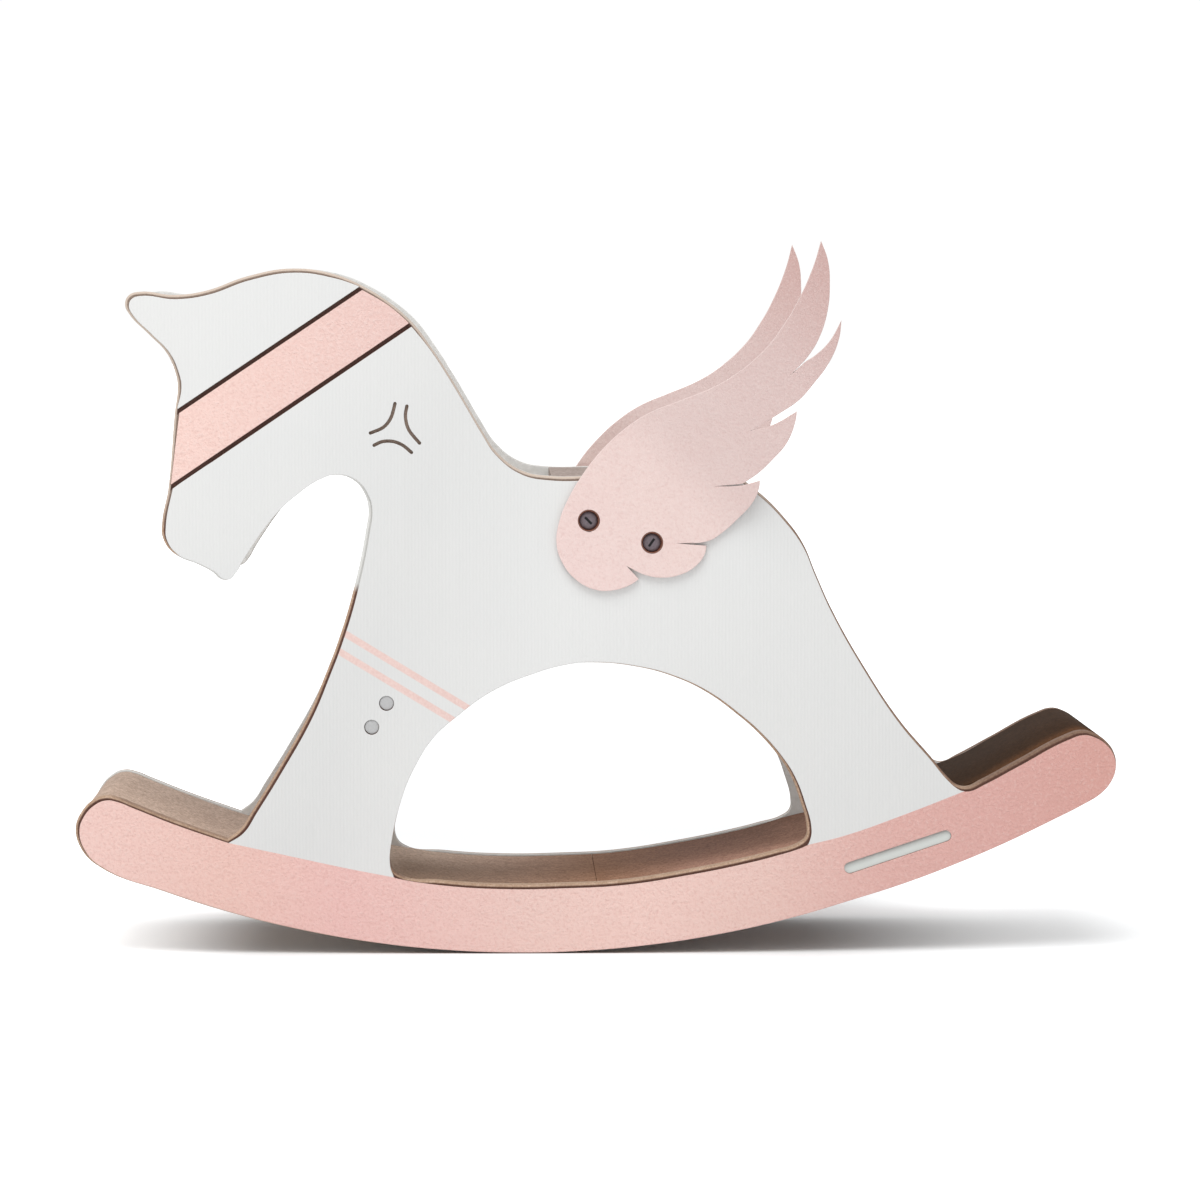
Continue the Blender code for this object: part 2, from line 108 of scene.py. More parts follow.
CHEST = [(-239.5, 83.5), (-231, 96.5), (-214, 124), (-193, 161.5), (-181.5, 189), (-173.5, 210),
         (-163.5, 243), (-154.5, 286), (-153, 299), (-155.5, 309), (-163, 318.3), (-174.5, 321.7),
         (-184, 319.4), (-202, 307.6), (-213, 297.6), (-222.1, 286.8), (-231.2, 273.7), (-236.8, 264.9),
         (-242, 256), (-246.5, 251.7), (-251.5, 251.7),
         (-258, 257), (-266.5, 261.5), (-283, 269), (-290.5, 279), (-291.3, 289)]
BROW = [(-282.5, 363)]

# leg arch: up the front leg, over, down the rear leg, then back along the runner's top edge
ARCH_OVER = [
    (-138.4, 60), (-136.6, 81), (-130, 107), (-122.5, 125), (-109.5, 145.5), (-94, 159.5),
    (-71, 176), (-45, 187.3), (-19.5, 194.3), (-2, 195.7), (28, 192.7), (51, 186.5), (73.5, 176),
    (95.5, 160), (108.5, 148.5), (122.5, 132.5), (130.5, 120), (137.5, 102), (141.9, 84), (141, 77.6),
]
ARCH_FLOOR = [(135.6, 73.1), (119, 68), (100, 63.2), (62, 55.5), (16, 48.5), (-22, 46.5), (-63, 46), (-104, 48.5), (-133, 52.8)]

# where the white facing meets the pink one, either side of the arch
SEAM_FRONT = [corner(-247.2, 74.7), (-209, 66.4), (-169, 57.7), corner(-136.2, 51.3)]
SEAM_REAR = [corner(142.1, 72.7), (166, 78.6), (206, 92.6), corner(247.4, 108.7)]

# the decks' own line where it runs on behind the legs
RUN_UNDER_REAR = [(165, 79.5), (205, 93.5)]
RUN_UNDER_FRONT = [(-170, 59.8), (-210, 67.7)]

SIDE = (POLL_TOP + [GROOVE_UP[0]] + CREST_MID + [GROOVE_LOW[0]] + CREST + BACK + [CROUP] + TAIL + KEEL
        + TOE + [corner(*HEEL)] + CHEST + [GROOVE_LOW[1]] + BROW + POLL_FRONT)

SLOT = ((170.5, 57.2), (235.0, 78.7))
SLOT_W = 7.4
CAPS = ((-141.0, 168.6), (-151.0, 152.5))
WING_SCREWS = ((-5.2, 291.3), (37.2, 276.5))
EYE = (
    ((-135.0, 369.7), (-137.6, 360.5), (-142.7, 353.9), (-151.5, 350.0)),
    ((-127.0, 368.0), (-128.0, 361.0), (-125.8, 352.2), (-118.6, 343.3)),
    ((-149.0, 341.8), (-143.3, 344.3), (-136.0, 344.3), (-129.5, 341.6), (-124.0, 337.0)),
)
EYE_W = 2.2

WING = [
    (-27, 276.5), (-25, 291), (-20, 304), (-8.5, 323.5), (3, 338), (19, 353), (35, 363.5),
    (55.5, 372), (75.2, 380), (90.8, 389), (111, 406.5), (122.2, 421.5), (130.2, 435), (141.5, 461),
    corner(146.3, 478), (151, 465), (152.5, 449.5), (151.3, 431.5), (146.2, 414), (139.6, 402.4),
    corner(129, 390.3), (137.6, 398.2), (144, 402.6), (153, 411.8), corner(160.5, 425.7), (159.2, 413.8), (153.2, 398),
    (142.7, 383), (133.6, 372.4), (123, 364.8), corner(102.5, 352), (116.7, 356), corner(132.5, 365.2),
    (131.8, 359), (126.2, 343.8), (117, 332.6), (107.6, 323.3), corner(97.6, 316.3), corner(79.3, 314.4),
    (95.7, 315), corner(109, 318.5), (108.2, 312.7), (104.7, 304.3), (95, 293), (84, 283), (75, 277.6),
    corner(54, 276), corner(73.8, 274.4), (72.3, 268.3), (66, 260.3), (55, 254.6), (43.3, 253),
    (32.5, 254.8), corner(20.3, 260.6), corner(28.3, 252), (22.3, 248), (11, 244.5), (-0.5, 244.8),
    (-13.5, 251.3), (-23.3, 263.5),
]

# curved decks: flush with the runners' top edges, wrapped over toe and tail
SEAM_X = 0.5

# ------------------------------------------------------------------ node helpers
class Mat:
    """Small helper for building one procedural material."""

    def __init__(self, name):
        self.m = bpy.data.materials.new(name)
        self.m.use_nodes = True
        self.nt = self.m.node_tree
        self.bsdf = self.nt.nodes["Principled BSDF"]
        self.coord = self.nt.nodes.new("ShaderNodeTexCoord")
        self.pos = self.coord.outputs["Object"]
        self.sep = self.nt.nodes.new("ShaderNodeSeparateXYZ")
        self.nt.links.new(self.pos, self.sep.inputs[0])

    def link(self, a, b):
        self.nt.links.new(a, b)

    def noise(self, scale, detail=4.0, rough=0.55, stretch=(1, 1, 1), distortion=0.0):
        mp = self.nt.nodes.new("ShaderNodeMapping")
        mp.inputs["Scale"].default_value = stretch
        self.link(self.pos, mp.inputs["Vector"])
        n = self.nt.nodes.new("ShaderNodeTexNoise")
        n.inputs["Scale"].default_value = scale
        n.inputs["Detail"].default_value = detail
        n.inputs["Roughness"].default_value = rough
        n.inputs["Distortion"].default_value = distortion
        self.link(mp.outputs[0], n.inputs["Vector"])
        return n.outputs["Fac"]

    def voronoi(self, scale, stretch=(1, 1, 1), feature="F1"):
        mp = self.nt.nodes.new("ShaderNodeMapping")
        mp.inputs["Scale"].default_value = stretch
        self.link(self.pos, mp.inputs["Vector"])
        n = self.nt.nodes.new("ShaderNodeTexVoronoi")
        n.feature = feature
        n.inputs["Scale"].default_value = scale
        self.link(mp.outputs[0], n.inputs["Vector"])
        return n.outputs["Distance"]

    def math(self, op, a, b=None, c=None, clamp=False):
        n = self.nt.nodes.new("ShaderNodeMath")
        n.operation = op
        n.use_clamp = clamp
        for i, v in enumerate((a, b, c)):
            if v is None:
                continue
            if isinstance(v, (int, float)):
                n.inputs[i].default_value = v
            else:
                self.link(v, n.inputs[i])
        return n.outputs[0]

    def ramp(self, fac, stops, interp="LINEAR"):
        n = self.nt.nodes.new("ShaderNodeValToRGB")
        n.color_ramp.interpolation = interp
        els = n.color_ramp.elements
        while len(els) < len(stops):
            els.new(0.5)
        for e, (p, c) in zip(els, stops):
            e.position = p
            e.color = (*c, 1.0) if len(c) == 3 else c
        self.link(fac, n.inputs[0])
        return n.outputs["Color"]

    def rng(self, v, a, b, c=0.0, d=1.0, smooth=False):
        n = self.nt.nodes.new("ShaderNodeMapRange")
        if smooth:
            n.interpolation_type = "SMOOTHSTEP"
        for k, x in zip(("From Min", "From Max", "To Min", "To Max"), (a, b, c, d)):
            n.inputs[k].default_value = x
        self.link(v, n.inputs["Value"])
        return n.outputs["Result"]

    def mix(self, fac, a, b, kind="MIX"):
        n = self.nt.nodes.new("ShaderNodeMix")
        n.data_type = "RGBA"
        n.blend_type = kind
        for sock, v in (("Factor", fac), ("A", a), ("B", b)):
            s = [i for i in n.inputs if i.name == sock and (sock == "Factor" and i.type == "VALUE" or i.type == "RGBA")][0]
            if isinstance(v, tuple):
                s.default_value = (*v, 1.0)
            elif isinstance(v, (int, float)):
                s.default_value = v
            else:
                self.link(v, s)
        return [o for o in n.outputs if o.type == "RGBA"][0]

    def normal_sep(self):
        g = self.nt.nodes.new("ShaderNodeNewGeometry")
        s = self.nt.nodes.new("ShaderNodeSeparateXYZ")
        self.link(g.outputs["True Normal"], s.inputs[0])
        return s

    def bump(self, height, dist, strength=1.0, after=None):
        n = self.nt.nodes.new("ShaderNodeBump")
        n.inputs["Distance"].default_value = dist
        n.inputs["Strength"].default_value = strength
        self.link(height, n.inputs["Height"])
        if after is not None:
            self.link(after, n.inputs["Normal"])
        return n.outputs[0]

    def out(self, colour=None, rough=None, normal=None, metal=None):
        for name, v in (("Base Color", colour), ("Roughness", rough), ("Normal", normal), ("Metallic", metal)):
            if v is None:
                continue
            s = self.bsdf.inputs[name]
            if isinstance(v, tuple):
                s.default_value = (*v, 1.0)
            elif isinstance(v, (int, float)):
                s.default_value = v
            else:
                self.link(v, s)
        return self.m


def lin(r, g, b):
    """sRGB 0-255 to linear."""
    out = []
    for v in (r, g, b):
        v /= 255.0
        out.append(v / 12.92 if v <= 0.04045 else ((v + 0.055) / 1.055) ** 2.4)
    return tuple(out)


# ------------------------------------------------------------------ materials
PANEL_LIGHT = 1.27      # how brightly the studio lights an upright face


def alb(r, g, b, light=PANEL_LIGHT):
    """Surface colour that reads as sRGB (r, g, b) under that much light."""
    return tuple(min(v / light, 0.92) for v in lin(r, g, b))


def rim_parts(k):
    """Masks from the face direction: on a rim, looking up or forward, looking back."""
    ns = k.normal_sep()
    ny = k.math("ABSOLUTE", ns.outputs["Y"])
    rim = k.rng(ny, 0.78, 0.93, 1.0, 0.0)
    up = k.math("SUBTRACT", k.math("MULTIPLY", ns.outputs["Z"], 0.9), k.math("MULTIPLY", ns.outputs["X"], 0.5))
    # the rims take the dark rim colour all round the tail tip
    up = k.math("ADD", up, k.rng(k.sep.outputs["X"], 0.300, 0.335, 0.0, 0.6))
    x, z = k.sep.outputs["X"], k.sep.outputs["Z"]
    throat = k.math("MULTIPLY", k.rng(x, -0.283, -0.279), k.rng(x, -0.142, -0.138, 1.0, 0.0))
    throat = k.math("MULTIPLY", throat, k.math("MULTIPLY", k.rng(z, 0.243, 0.249), k.rng(z, 0.327, 0.331, 1.0, 0.0)))
    return ns, ny, rim, k.rng(up, -0.12, 0.12), throat


def mat_core():
    """Pressed board: tan sanded rims, paler towards the inner face, which has a pale sealing coat."""
    k = Mat("pressed_board_core")
    fib = k.noise(900, 5, 0.6, (1, 0.35, 1))
    blot = k.noise(110, 3, 0.5)
    c = k.ramp(fib, [(0.25, alb(166, 132, 106)), (0.5, alb(196, 164, 138)), (0.75, alb(222, 196, 174))])
    c = k.mix(k.rng(blot, 0.35, 0.7, 0.0, 0.35), c, alb(146, 112, 88))
    ns, ny, rim, up, throat = rim_parts(k)
    # painted shade: rims that look backwards are darkened to a deep brown; past x 0.24-0.26 m (the tail) all rims are
    # that dark
    back = k.math("MULTIPLY", k.rng(ns.outputs["X"], 0.15, 0.5), k.rng(ns.outputs["Z"], -0.25, 0.0))
    dark_rim_colour = k.ramp(fib, [(0.3, alb(98, 68, 52)), (0.7, alb(134, 102, 82))])
    back = k.math("MAXIMUM", back, k.rng(k.sep.outputs["X"], 0.240, 0.262))
    c = k.mix(k.math("MULTIPLY", back, 0.85), c, dark_rim_colour)
    # the rims are paler along the head and back, above about 0.29-0.31 m
    z = k.sep.outputs["Z"]
    upper_pale = k.rng(z, 0.285, 0.312)
    c = k.mix(k.math("MULTIPLY", upper_pale, 0.72), c, alb(222, 208, 195))
    ay = k.math("ABSOLUTE", k.sep.outputs["Y"])
    pale_n = k.noise(240, 4, 0.5)
    pale = k.ramp(pale_n, [(0.3, alb(222, 221, 217)), (0.7, alb(236, 235, 232))])
    wob = k.math("MULTIPLY", k.math("SUBTRACT", pale_n, 0.5), 0.0012)
    inner = k.rng(k.math("ADD", ay, wob), (Y_IN + 5.5) * MM, (Y_IN + 6.5) * MM, 1.0, 0.0)
    inner = k.math("MULTIPLY", inner, k.rng(k.sep.outputs["X"], 0.225, 0.255, 1.0, 0.0))
    # painted shade: low down on the left side the rims keep the brown board colour instead of the pale coat
    inner = k.math("MULTIPLY", inner, k.math("MAXIMUM", k.rng(z, 0.15, 0.17), k.rng(k.sep.outputs["Y"], -0.01, 0.01)))
    flat_in = k.math("MULTIPLY", k.rng(ay, (Y_IN + 0.15) * MM, (Y_IN + 0.6) * MM, 1.0, 0.0), k.rng(ny, 0.5, 0.8))
    c = k.mix(k.math("MAXIMUM", k.math("MAXIMUM", inner, flat_in), throat), c, pale)
    # the outer face of the board shows at the bottom of the grooves: scorched dark
    outer = k.math("MULTIPLY", k.rng(ay, (Y_CORE - 0.12) * MM, (Y_CORE - 0.04) * MM), k.rng(ny, 0.97, 0.995))
    in_groove = None
    for (ax, az), (bx, bz) in (GROOVE_UP, GROOVE_LOW):
        d = math.hypot(bx - ax, bz - az)
        nx, nz = -(bz - az) / d, (bx - ax) / d
        off = -(nx * ax + nz * az) * MM
        dist = k.math("ABSOLUTE", k.math("ADD", k.math("ADD", k.math("MULTIPLY", k.sep.outputs["X"], nx),
                                                       k.math("MULTIPLY", z, nz)), off))
        m = k.rng(dist, 0.0016, 0.0019, 1.0, 0.0)
        in_groove = m if in_groove is None else k.math("MAXIMUM", in_groove, m)
    in_groove = k.math("MULTIPLY", in_groove, k.math("MULTIPLY", k.rng(k.sep.outputs["X"], -0.119, -0.117, 1.0, 0.0),
                                                     k.rng(z, 0.305, 0.307)))
    strip = k.mix(upper_pale, k.ramp(fib, [(0.3, lin(74, 44, 34)), (0.7, lin(102, 66, 52))]),
                  k.ramp(fib, [(0.3, alb(138, 118, 104)), (0.7, alb(166, 146, 132))]))
    strip = k.mix(throat, strip, alb(206, 205, 201))
    scorched = k.mix(in_groove, strip, k.ramp(fib, [(0.3, lin(62, 35, 27)), (0.7, lin(86, 54, 43))]))
    c = k.mix(outer, c, scorched)
    return k.out(c, 0.78, k.bump(fib, 0.0003, 0.5))


def skin_mat(name, face_fn, rim_pale):
    """Facing sheet: its own face, a dark scorched-brown rim where it looks up or forward and a pale rim elsewhere;
    choosing the rim colour by facing direction is painted shade on the dark rims and painted highlight on the pale
    ones.
    """
    k = Mat(name)
    face, rough, normal = face_fn(k)
    ns, ny, rim, up, throat = rim_parts(k)
    up = k.math("MULTIPLY", up, k.math("SUBTRACT", 1.0, throat))
    # dark rim colour: part cut-edge scorch, part painted shade
    dark_rim_colour = k.ramp(k.noise(700, 3), [(0.3, alb(104, 72, 56)), (0.7, alb(138, 102, 82))])
    return k.out(k.mix(rim, face, k.mix(up, rim_pale, dark_rim_colour)), rough, normal)


def white_face(k):
    """Matt white with faint upright ribs, painted shade that greys it step by step towards the rump, and two stripes
    on the front leg.
    """
    wave = k.nt.nodes.new("ShaderNodeTexWave")
    wave.wave_type = "BANDS"
    wave.bands_direction = "X"
    wave.wave_profile = "SIN"
    wave.inputs["Scale"].default_value = 137.0
    wave.inputs["Distortion"].default_value = 0.9
    wave.inputs["Detail"].default_value = 2.0
    wave.inputs["Detail Scale"].default_value = 0.4
    k.link(k.pos, wave.inputs["Vector"])
    fine = k.noise(420, 3, 0.5, (1, 1, 0.02))
    rib = k.math("ADD", k.math("MULTIPLY", wave.outputs["Fac"], 0.6), k.math("MULTIPLY", fine, 0.8))
    x = k.math("ADD", k.sep.outputs["X"], k.math("MULTIPLY", k.math("SUBTRACT", k.sep.outputs["Z"], 0.25), -0.35))
    # painted shade: the white's grey level along the body stands in for the light falling off towards the rump
    shade_greys = [(-0.42, 0.632), (-0.305, 0.622), (-0.20, 0.600), (-0.135, 0.582), (-0.01, 0.632), (0.13, 0.602),
             (0.24, 0.588), (0.30, 0.580)]
    base = k.ramp(k.rng(x, -0.42, 0.30), [((px + 0.42) / 0.72, (g, g * 0.998, g * 0.985)) for px, g in shade_greys])
    c = k.mix(k.rng(rib, 0.25, 0.95, 0.0, 0.10), base, alb(250, 250, 248))
    cloud = k.noise(14, 3, 0.5)
    c = k.mix(k.rng(cloud, 0.4, 0.7, 0.0, 0.12), c, alb(240, 238, 234))
    stripes = None
    for (x1, z1), (x2, z2), w in (((-170.0, 216.3), (-87.0, 165.7), 4.5), ((-173.7, 204.2), (-96.5, 157.3), 4.5)):
        d = math.hypot(x2 - x1, z2 - z1)
        nx, nz = -(z2 - z1) / d, (x2 - x1) / d
        off = -(nx * x1 + nz * z1) * MM
        dist = k.math("ABSOLUTE", k.math("ADD", k.math("ADD", k.math("MULTIPLY", k.sep.outputs["X"], nx),
                                                       k.math("MULTIPLY", k.sep.outputs["Z"], nz)), off))
        m = k.rng(dist, (w / 2 - 0.2) * MM, (w / 2 + 0.2) * MM, 1.0, 0.0)
        stripes = m if stripes is None else k.math("MAXIMUM", stripes, m)
    side = k.math("MULTIPLY", stripes, k.rng(k.sep.outputs["X"], -0.200, -0.199))
    side = k.math("MULTIPLY", side, k.rng(k.sep.outputs["X"], -0.060, -0.059, 1.0, 0.0))
    speck = k.noise(520, 4, 0.6)
    pink = k.ramp(speck, [(0.3, alb(233, 200, 192)), (0.7, alb(243, 216, 209))])
    c = k.mix(side, c, pink)
    return c, 0.62, k.bump(rib, 0.00012, 0.7)


def embossed(k, base, lo, hi, speck):
    """Pressed paper-felt surface: soft dimples at two sizes, fine flecks."""
    grain = k.noise(520, 5, 0.62)
    cells = k.noise(1000, 3, 0.6)
    c = k.mix(k.rng(grain, 0.30, 0.50, 0.70, 0.0), base, lo)
    c = k.mix(k.rng(grain, 0.52, 0.74, 0.0, 0.62), c, hi)
    fleck = k.math("MULTIPLY", k.rng(cells, 0.56, 0.68), speck)
    c = k.mix(fleck, c, alb(206, 140, 134))
    h = k.math("ADD", k.math("MULTIPLY", grain, 0.85), k.math("MULTIPLY", cells, 0.25))
    return c, 0.88, k.bump(h, 0.0015, 0.95)


def pink_band_face(k):
    base = k.mix(k.rng(k.sep.outputs["X"], -0.28, -0.13), alb(251, 216, 206, 1.19), alb(246, 210, 202, 1.30))
    return embossed(k, base, alb(241, 199, 189), alb(253, 228, 221), 0.03)


def pink_runner_face(k):
    t = k.rng(k.sep.outputs["X"], -0.35, 0.35)
    stops = [(-345, (245, 207, 198), 1.15), (-250, (244, 202, 191), 1.19), (-170, (242, 196, 190), 1.18),
             (-40, (235, 201, 192), 1.09), (30, (232, 198, 189), 1.02), (110, (223, 189, 180), 1.00),
             (190, (222, 176, 168), 1.10), (270, (221, 171, 163), 1.14), (345, (219, 165, 155), 1.17)]
    base = k.ramp(t, [((x + 350) / 700.0, alb(*c, light=f)) for x, c, f in stops])
    hi = k.mix(0.58, base, alb(251, 226, 218))
    lo = k.mix(0.55, base, alb(222, 166, 156))
    speck = k.rng(k.sep.outputs["X"], 0.05, 0.30, 0.06, 0.38)
    return embossed(k, base, lo, hi, speck)


def mat_felt():
    k = Mat("pink_wool_felt")
    fuzz = k.noise(1150, 6, 0.7, (1, 1, 0.6), 0.6)
    mott = k.noise(560, 5, 0.62)
    big = k.noise(28, 2, 0.5)
    x, z = k.sep.outputs["X"], k.sep.outputs["Z"]
    s = k.math("ADD", k.math("MULTIPLY", x, 0.7071), k.math("MULTIPLY", z, 0.7071))
    # painted shade: the felt darkens towards the feather tips, as the bent wing turns away from the light
    base = k.ramp(k.rng(s, 0.16, 0.44), [(0.0, alb(238, 211, 206, 1.17)), (0.25, alb(237, 212, 206, 1.19)),
                                         (0.5, alb(234, 209, 204, 1.26)), (0.75, alb(231, 202, 197, 1.31)),
                                         (1.0, alb(217, 177, 170, 1.36))])
    c = k.mix(k.rng(mott, 0.30, 0.50, 0.34, 0.0), base, alb(218, 178, 172))
    c = k.mix(k.rng(mott, 0.52, 0.74, 0.0, 0.34), c, alb(247, 228, 222))
    c = k.mix(k.rng(fuzz, 0.45, 0.72, 0.0, 0.30), c, alb(250, 236, 231))
    c = k.mix(k.rng(big, 0.4, 0.7, 0.0, 0.10), c, alb(224, 184, 180))
    # painted highlight: the cut edges are paler
    ns = k.normal_sep()
    edge = k.rng(k.math("ABSOLUTE", ns.outputs["Y"]), 0.62, 0.82, 0.55, 0.0)
    c = k.mix(edge, c, alb(250, 232, 226))
    h = k.math("ADD", k.math("MULTIPLY", fuzz, 0.5), k.math("MULTIPLY", mott, 0.75))
    m = k.out(c, 0.95, k.bump(h, 0.0010, 0.8))
    k.bsdf.inputs["Sheen Weight"].default_value = 0.2
    k.bsdf.inputs["Sheen Roughness"].default_value = 0.5
    return m


def mat_deck(name, stops, slope=0.0):
    """Uncoated pressed board. stops: colour along X in mm; slope: how strong the painted shade across the width under
    the leg arch is, and it also turns on the painted light along the tail's left side.
    """
    k = Mat(name)
    fib = k.noise(520, 5, 0.65, (1, 0.45, 1), 0.8)
    chips = k.voronoi(330, (1, 0.5, 1))
    blot = k.noise(70, 4, 0.6)
    x, y = k.sep.outputs["X"], k.sep.outputs["Y"]
    lo_x, hi_x = stops[0][0], stops[-1][0]
    base = k.ramp(k.rng(x, lo_x * MM, hi_x * MM), [((px - lo_x) / (hi_x - lo_x), lin(*c)) for px, c in stops])
    dark = k.mix(1.0, base, (0.50, 0.46, 0.42), "MULTIPLY")
    c = k.mix(k.rng(fib, 0.28, 0.52, 0.75, 0.0), base, dark)
    c = k.mix(k.rng(fib, 0.48, 0.74, 0.0, 1.0), c, k.mix(1.0, base, (1.35, 1.32, 1.28), "MULTIPLY"))
    c = k.mix(k.rng(chips, 0.05, 0.5, 0.40, 0.0), c, dark)
    c = k.mix(k.rng(blot, 0.4, 0.7, 0.0, 0.30), c, dark)
    if slope:
        # painted shade: under the leg arch the deck darkens across its width, on the left side at the front and the
        # right side at the rear
        turn = k.rng(x, -0.11, 0.12, -1.0, 1.0)
        across = k.rng(k.math("MULTIPLY", y, turn), -0.1, 0.1, 0.0, slope, smooth=True)
        gate = k.math("MULTIPLY", k.rng(x, -0.16, -0.13), k.rng(x, 0.14, 0.17, 1.0, 0.0))
        c = k.mix(k.math("MULTIPLY", across, gate), c, k.mix(1.0, c, (0.30, 0.24, 0.19), "MULTIPLY"))
    if slope:
        # painted light: the tail deck is lighter along the left side
        tail_side_light = k.math("MULTIPLY", k.rng(y, -0.098, -0.055, 1.0, 0.0, smooth=True), k.rng(x, 0.24, 0.27))
        c = k.mix(tail_side_light, c, k.mix(1.0, c, (2.2, 1.97, 1.72), "MULTIPLY"))
    h = k.math("ADD", fib, k.math("MULTIPLY", chips, 0.4))
    k.bsdf.inputs["Specular IOR Level"].default_value = 0.08
    return k.out(c, 0.9, k.bump(h, 0.0004, 0.6))


def mat_rail():
    k = Mat("planed_softwood")
    ring = k.noise(60, 4, 0.5, (4, 0.12, 4), 1.2)
    fine = k.noise(600, 3, 0.6, (1, 0.05, 1))
    c = k.ramp(ring, [(0.3, lin(176, 140, 104)), (0.5, lin(196, 162, 126)), (0.7, lin(208, 178, 142))])
    c = k.mix(k.rng(fine, 0.4, 0.7, 0.0, 0.3), c, lin(164, 126, 92))
    return k.out(c, 0.6, k.bump(fine, 0.0002, 0.4))


def mat_simple(name, a, b, scale, rough, metal=0.0, depth=0.0001, coat=0.0):
    k = Mat(name)
    n = k.noise(scale, 4, 0.6)
    c = k.ramp(n, [(0.3, a), (0.7, b)])
    r = k.rng(k.noise(scale * 0.6, 3), 0.3, 0.7, rough - 0.07, rough + 0.08)
    m = k.out(c, r, k.bump(n, depth, 0.6), metal)
    k.bsdf.inputs["Coat Weight"].default_value = coat
    return m


M_CORE = mat_core()
M_WHITE = skin_mat("white_ribbed_facing", white_face, alb(240, 239, 236))
M_PINK = skin_mat("pink_embossed_facing", pink_runner_face, alb(244, 214, 206))
M_BAND = skin_mat("pink_embossed_band", pink_band_face, alb(232, 190, 180))
M_FELT = mat_felt()
M_DECK_F = mat_deck("deck_board_front", [(-350, (192, 170, 155)), (-250, (180, 158, 144)), (-140, (200, 180, 165)),
                                         (-60, (183, 155, 138)), (5, (168, 130, 106))], 0.75)
M_DECK_R = mat_deck("deck_board_rear", [(0, (168, 130, 106)), (70, (168, 131, 115)), (140, (168, 131, 114)),
                                        (200, (58, 38, 24)), (250, (55, 38, 25)), (350, (62, 42, 27))], 0.75)
M_SEAT = mat_deck("seat_board", [(-40, (163, 150, 144)), (100, (159, 146, 140))])
M_RAIL = mat_rail()


def mat_slot():
    """Smooth filler, darker along the slot's upper side as painted shade under its upper edge."""
    k = Mat("slot_floor_white")
    (x0, z0), (x1, z1) = SLOT
    d = math.hypot(x1 - x0, z1 - z0)
    nx, nz = -(z1 - z0) / d, (x1 - x0) / d
    v = k.math("ADD", k.math("MULTIPLY", k.sep.outputs["X"], nx), k.math("MULTIPLY", k.sep.outputs["Z"], nz))
    v = k.math("SUBTRACT", v, (nx * x0 + nz * z0) * MM)
    c = k.ramp(k.rng(v, -0.0037, 0.0037), [(0.0, alb(226, 229, 225)), (0.45, alb(215, 219, 215)), (0.8, alb(193, 194, 190)),
                                          (1.0, alb(150, 148, 144))])
    n = k.noise(400, 3)
    c = k.mix(k.rng(n, 0.4, 0.7, 0.0, 0.15), c, alb(226, 226, 222))
    return k.out(c, 0.55, k.bump(n, 0.0001, 0.5))


M_SLOT = mat_slot()
SCREW_TURNS = (-45.0, 55.0)


def mat_screw():
    """Dark plated steel; the driver slots are coloured near-black as painted shade."""
    k = Mat("dark_screw_steel")
    n = k.noise(900, 4, 0.6)
    c = k.ramp(n, [(0.3, lin(92, 82, 87)), (0.7, lin(115, 104, 109))])
    slot_shade = None
    for (sx, sz), deg in zip(WING_SCREWS, SCREW_TURNS):
        a = math.radians(deg)
        dx = k.math("SUBTRACT", k.sep.outputs["X"], (sx + HEAD_SHIFT) * MM)
        dz = k.math("SUBTRACT", k.sep.outputs["Z"], sz * MM)
        u = k.math("ADD", k.math("MULTIPLY", dx, math.cos(a)), k.math("MULTIPLY", dz, math.sin(a)))
        v = k.math("SUBTRACT", k.math("MULTIPLY", dz, math.cos(a)), k.math("MULTIPLY", dx, math.sin(a)))
        m = k.math("MULTIPLY", k.rng(k.math("ABSOLUTE", u), 0.0030, 0.0034, 1.0, 0.0),
                   k.rng(k.math("ABSOLUTE", v), 0.00076, 0.00092, 1.0, 0.0))
        slot_shade = m if slot_shade is None else k.math("MAXIMUM", slot_shade, m)
    c = k.mix(slot_shade, c, lin(26, 22, 24))
    return k.out(c, k.rng(n, 0.3, 0.7, 0.42, 0.56), k.bump(n, 0.0001, 0.5), 0.35)


HEAD_SHIFT = -0.35      # the screw heads sit a little to one side in their cups
M_SCREW = mat_screw()
M_CUP = mat_simple("brown_hole_wall", lin(126, 82, 66), lin(156, 104, 86), 800, 0.7)
M_CAP = mat_simple("grey_leg_cap", lin(165, 165, 165), lin(179, 179, 179), 700, 0.5)


# ------------------------------------------------------------------ shapes
def inset_run(run, d, sx=0.0, sz=0.0, closed=False):
    """Points moved d to the right of the way they run, then shifted. Corners keep their mark."""
    out = []
    n = len(run)
    for i, p in enumerate(run):
        a = run[i - 1] if (closed or i > 0) else None
        b = run[(i + 1) % n] if (closed or i < n - 1) else None
        dirs = []
        for u, v in ((a, p), (p, b)):
            if u is not None and v is not None:
                m = math.hypot(v[0] - u[0], v[1] - u[1])
                dirs.append(((v[0] - u[0]) / m, (v[1] - u[1]) / m))
        tx, tz = sum(t[0] for t in dirs), sum(t[1] for t in dirs)
        m = math.hypot(tx, tz)
        tx, tz = tx / m, tz / m
        reach = d
        if len(p) == 3 and len(dirs) == 2:
            reach = min(d / max(tx * dirs[0][0] + tz * dirs[0][1], 0.35), 2.2 * d)
        out.append((p[0] + tz * reach + sx, p[1] - tx * reach + sz) + tuple(p[2:]))
    return out


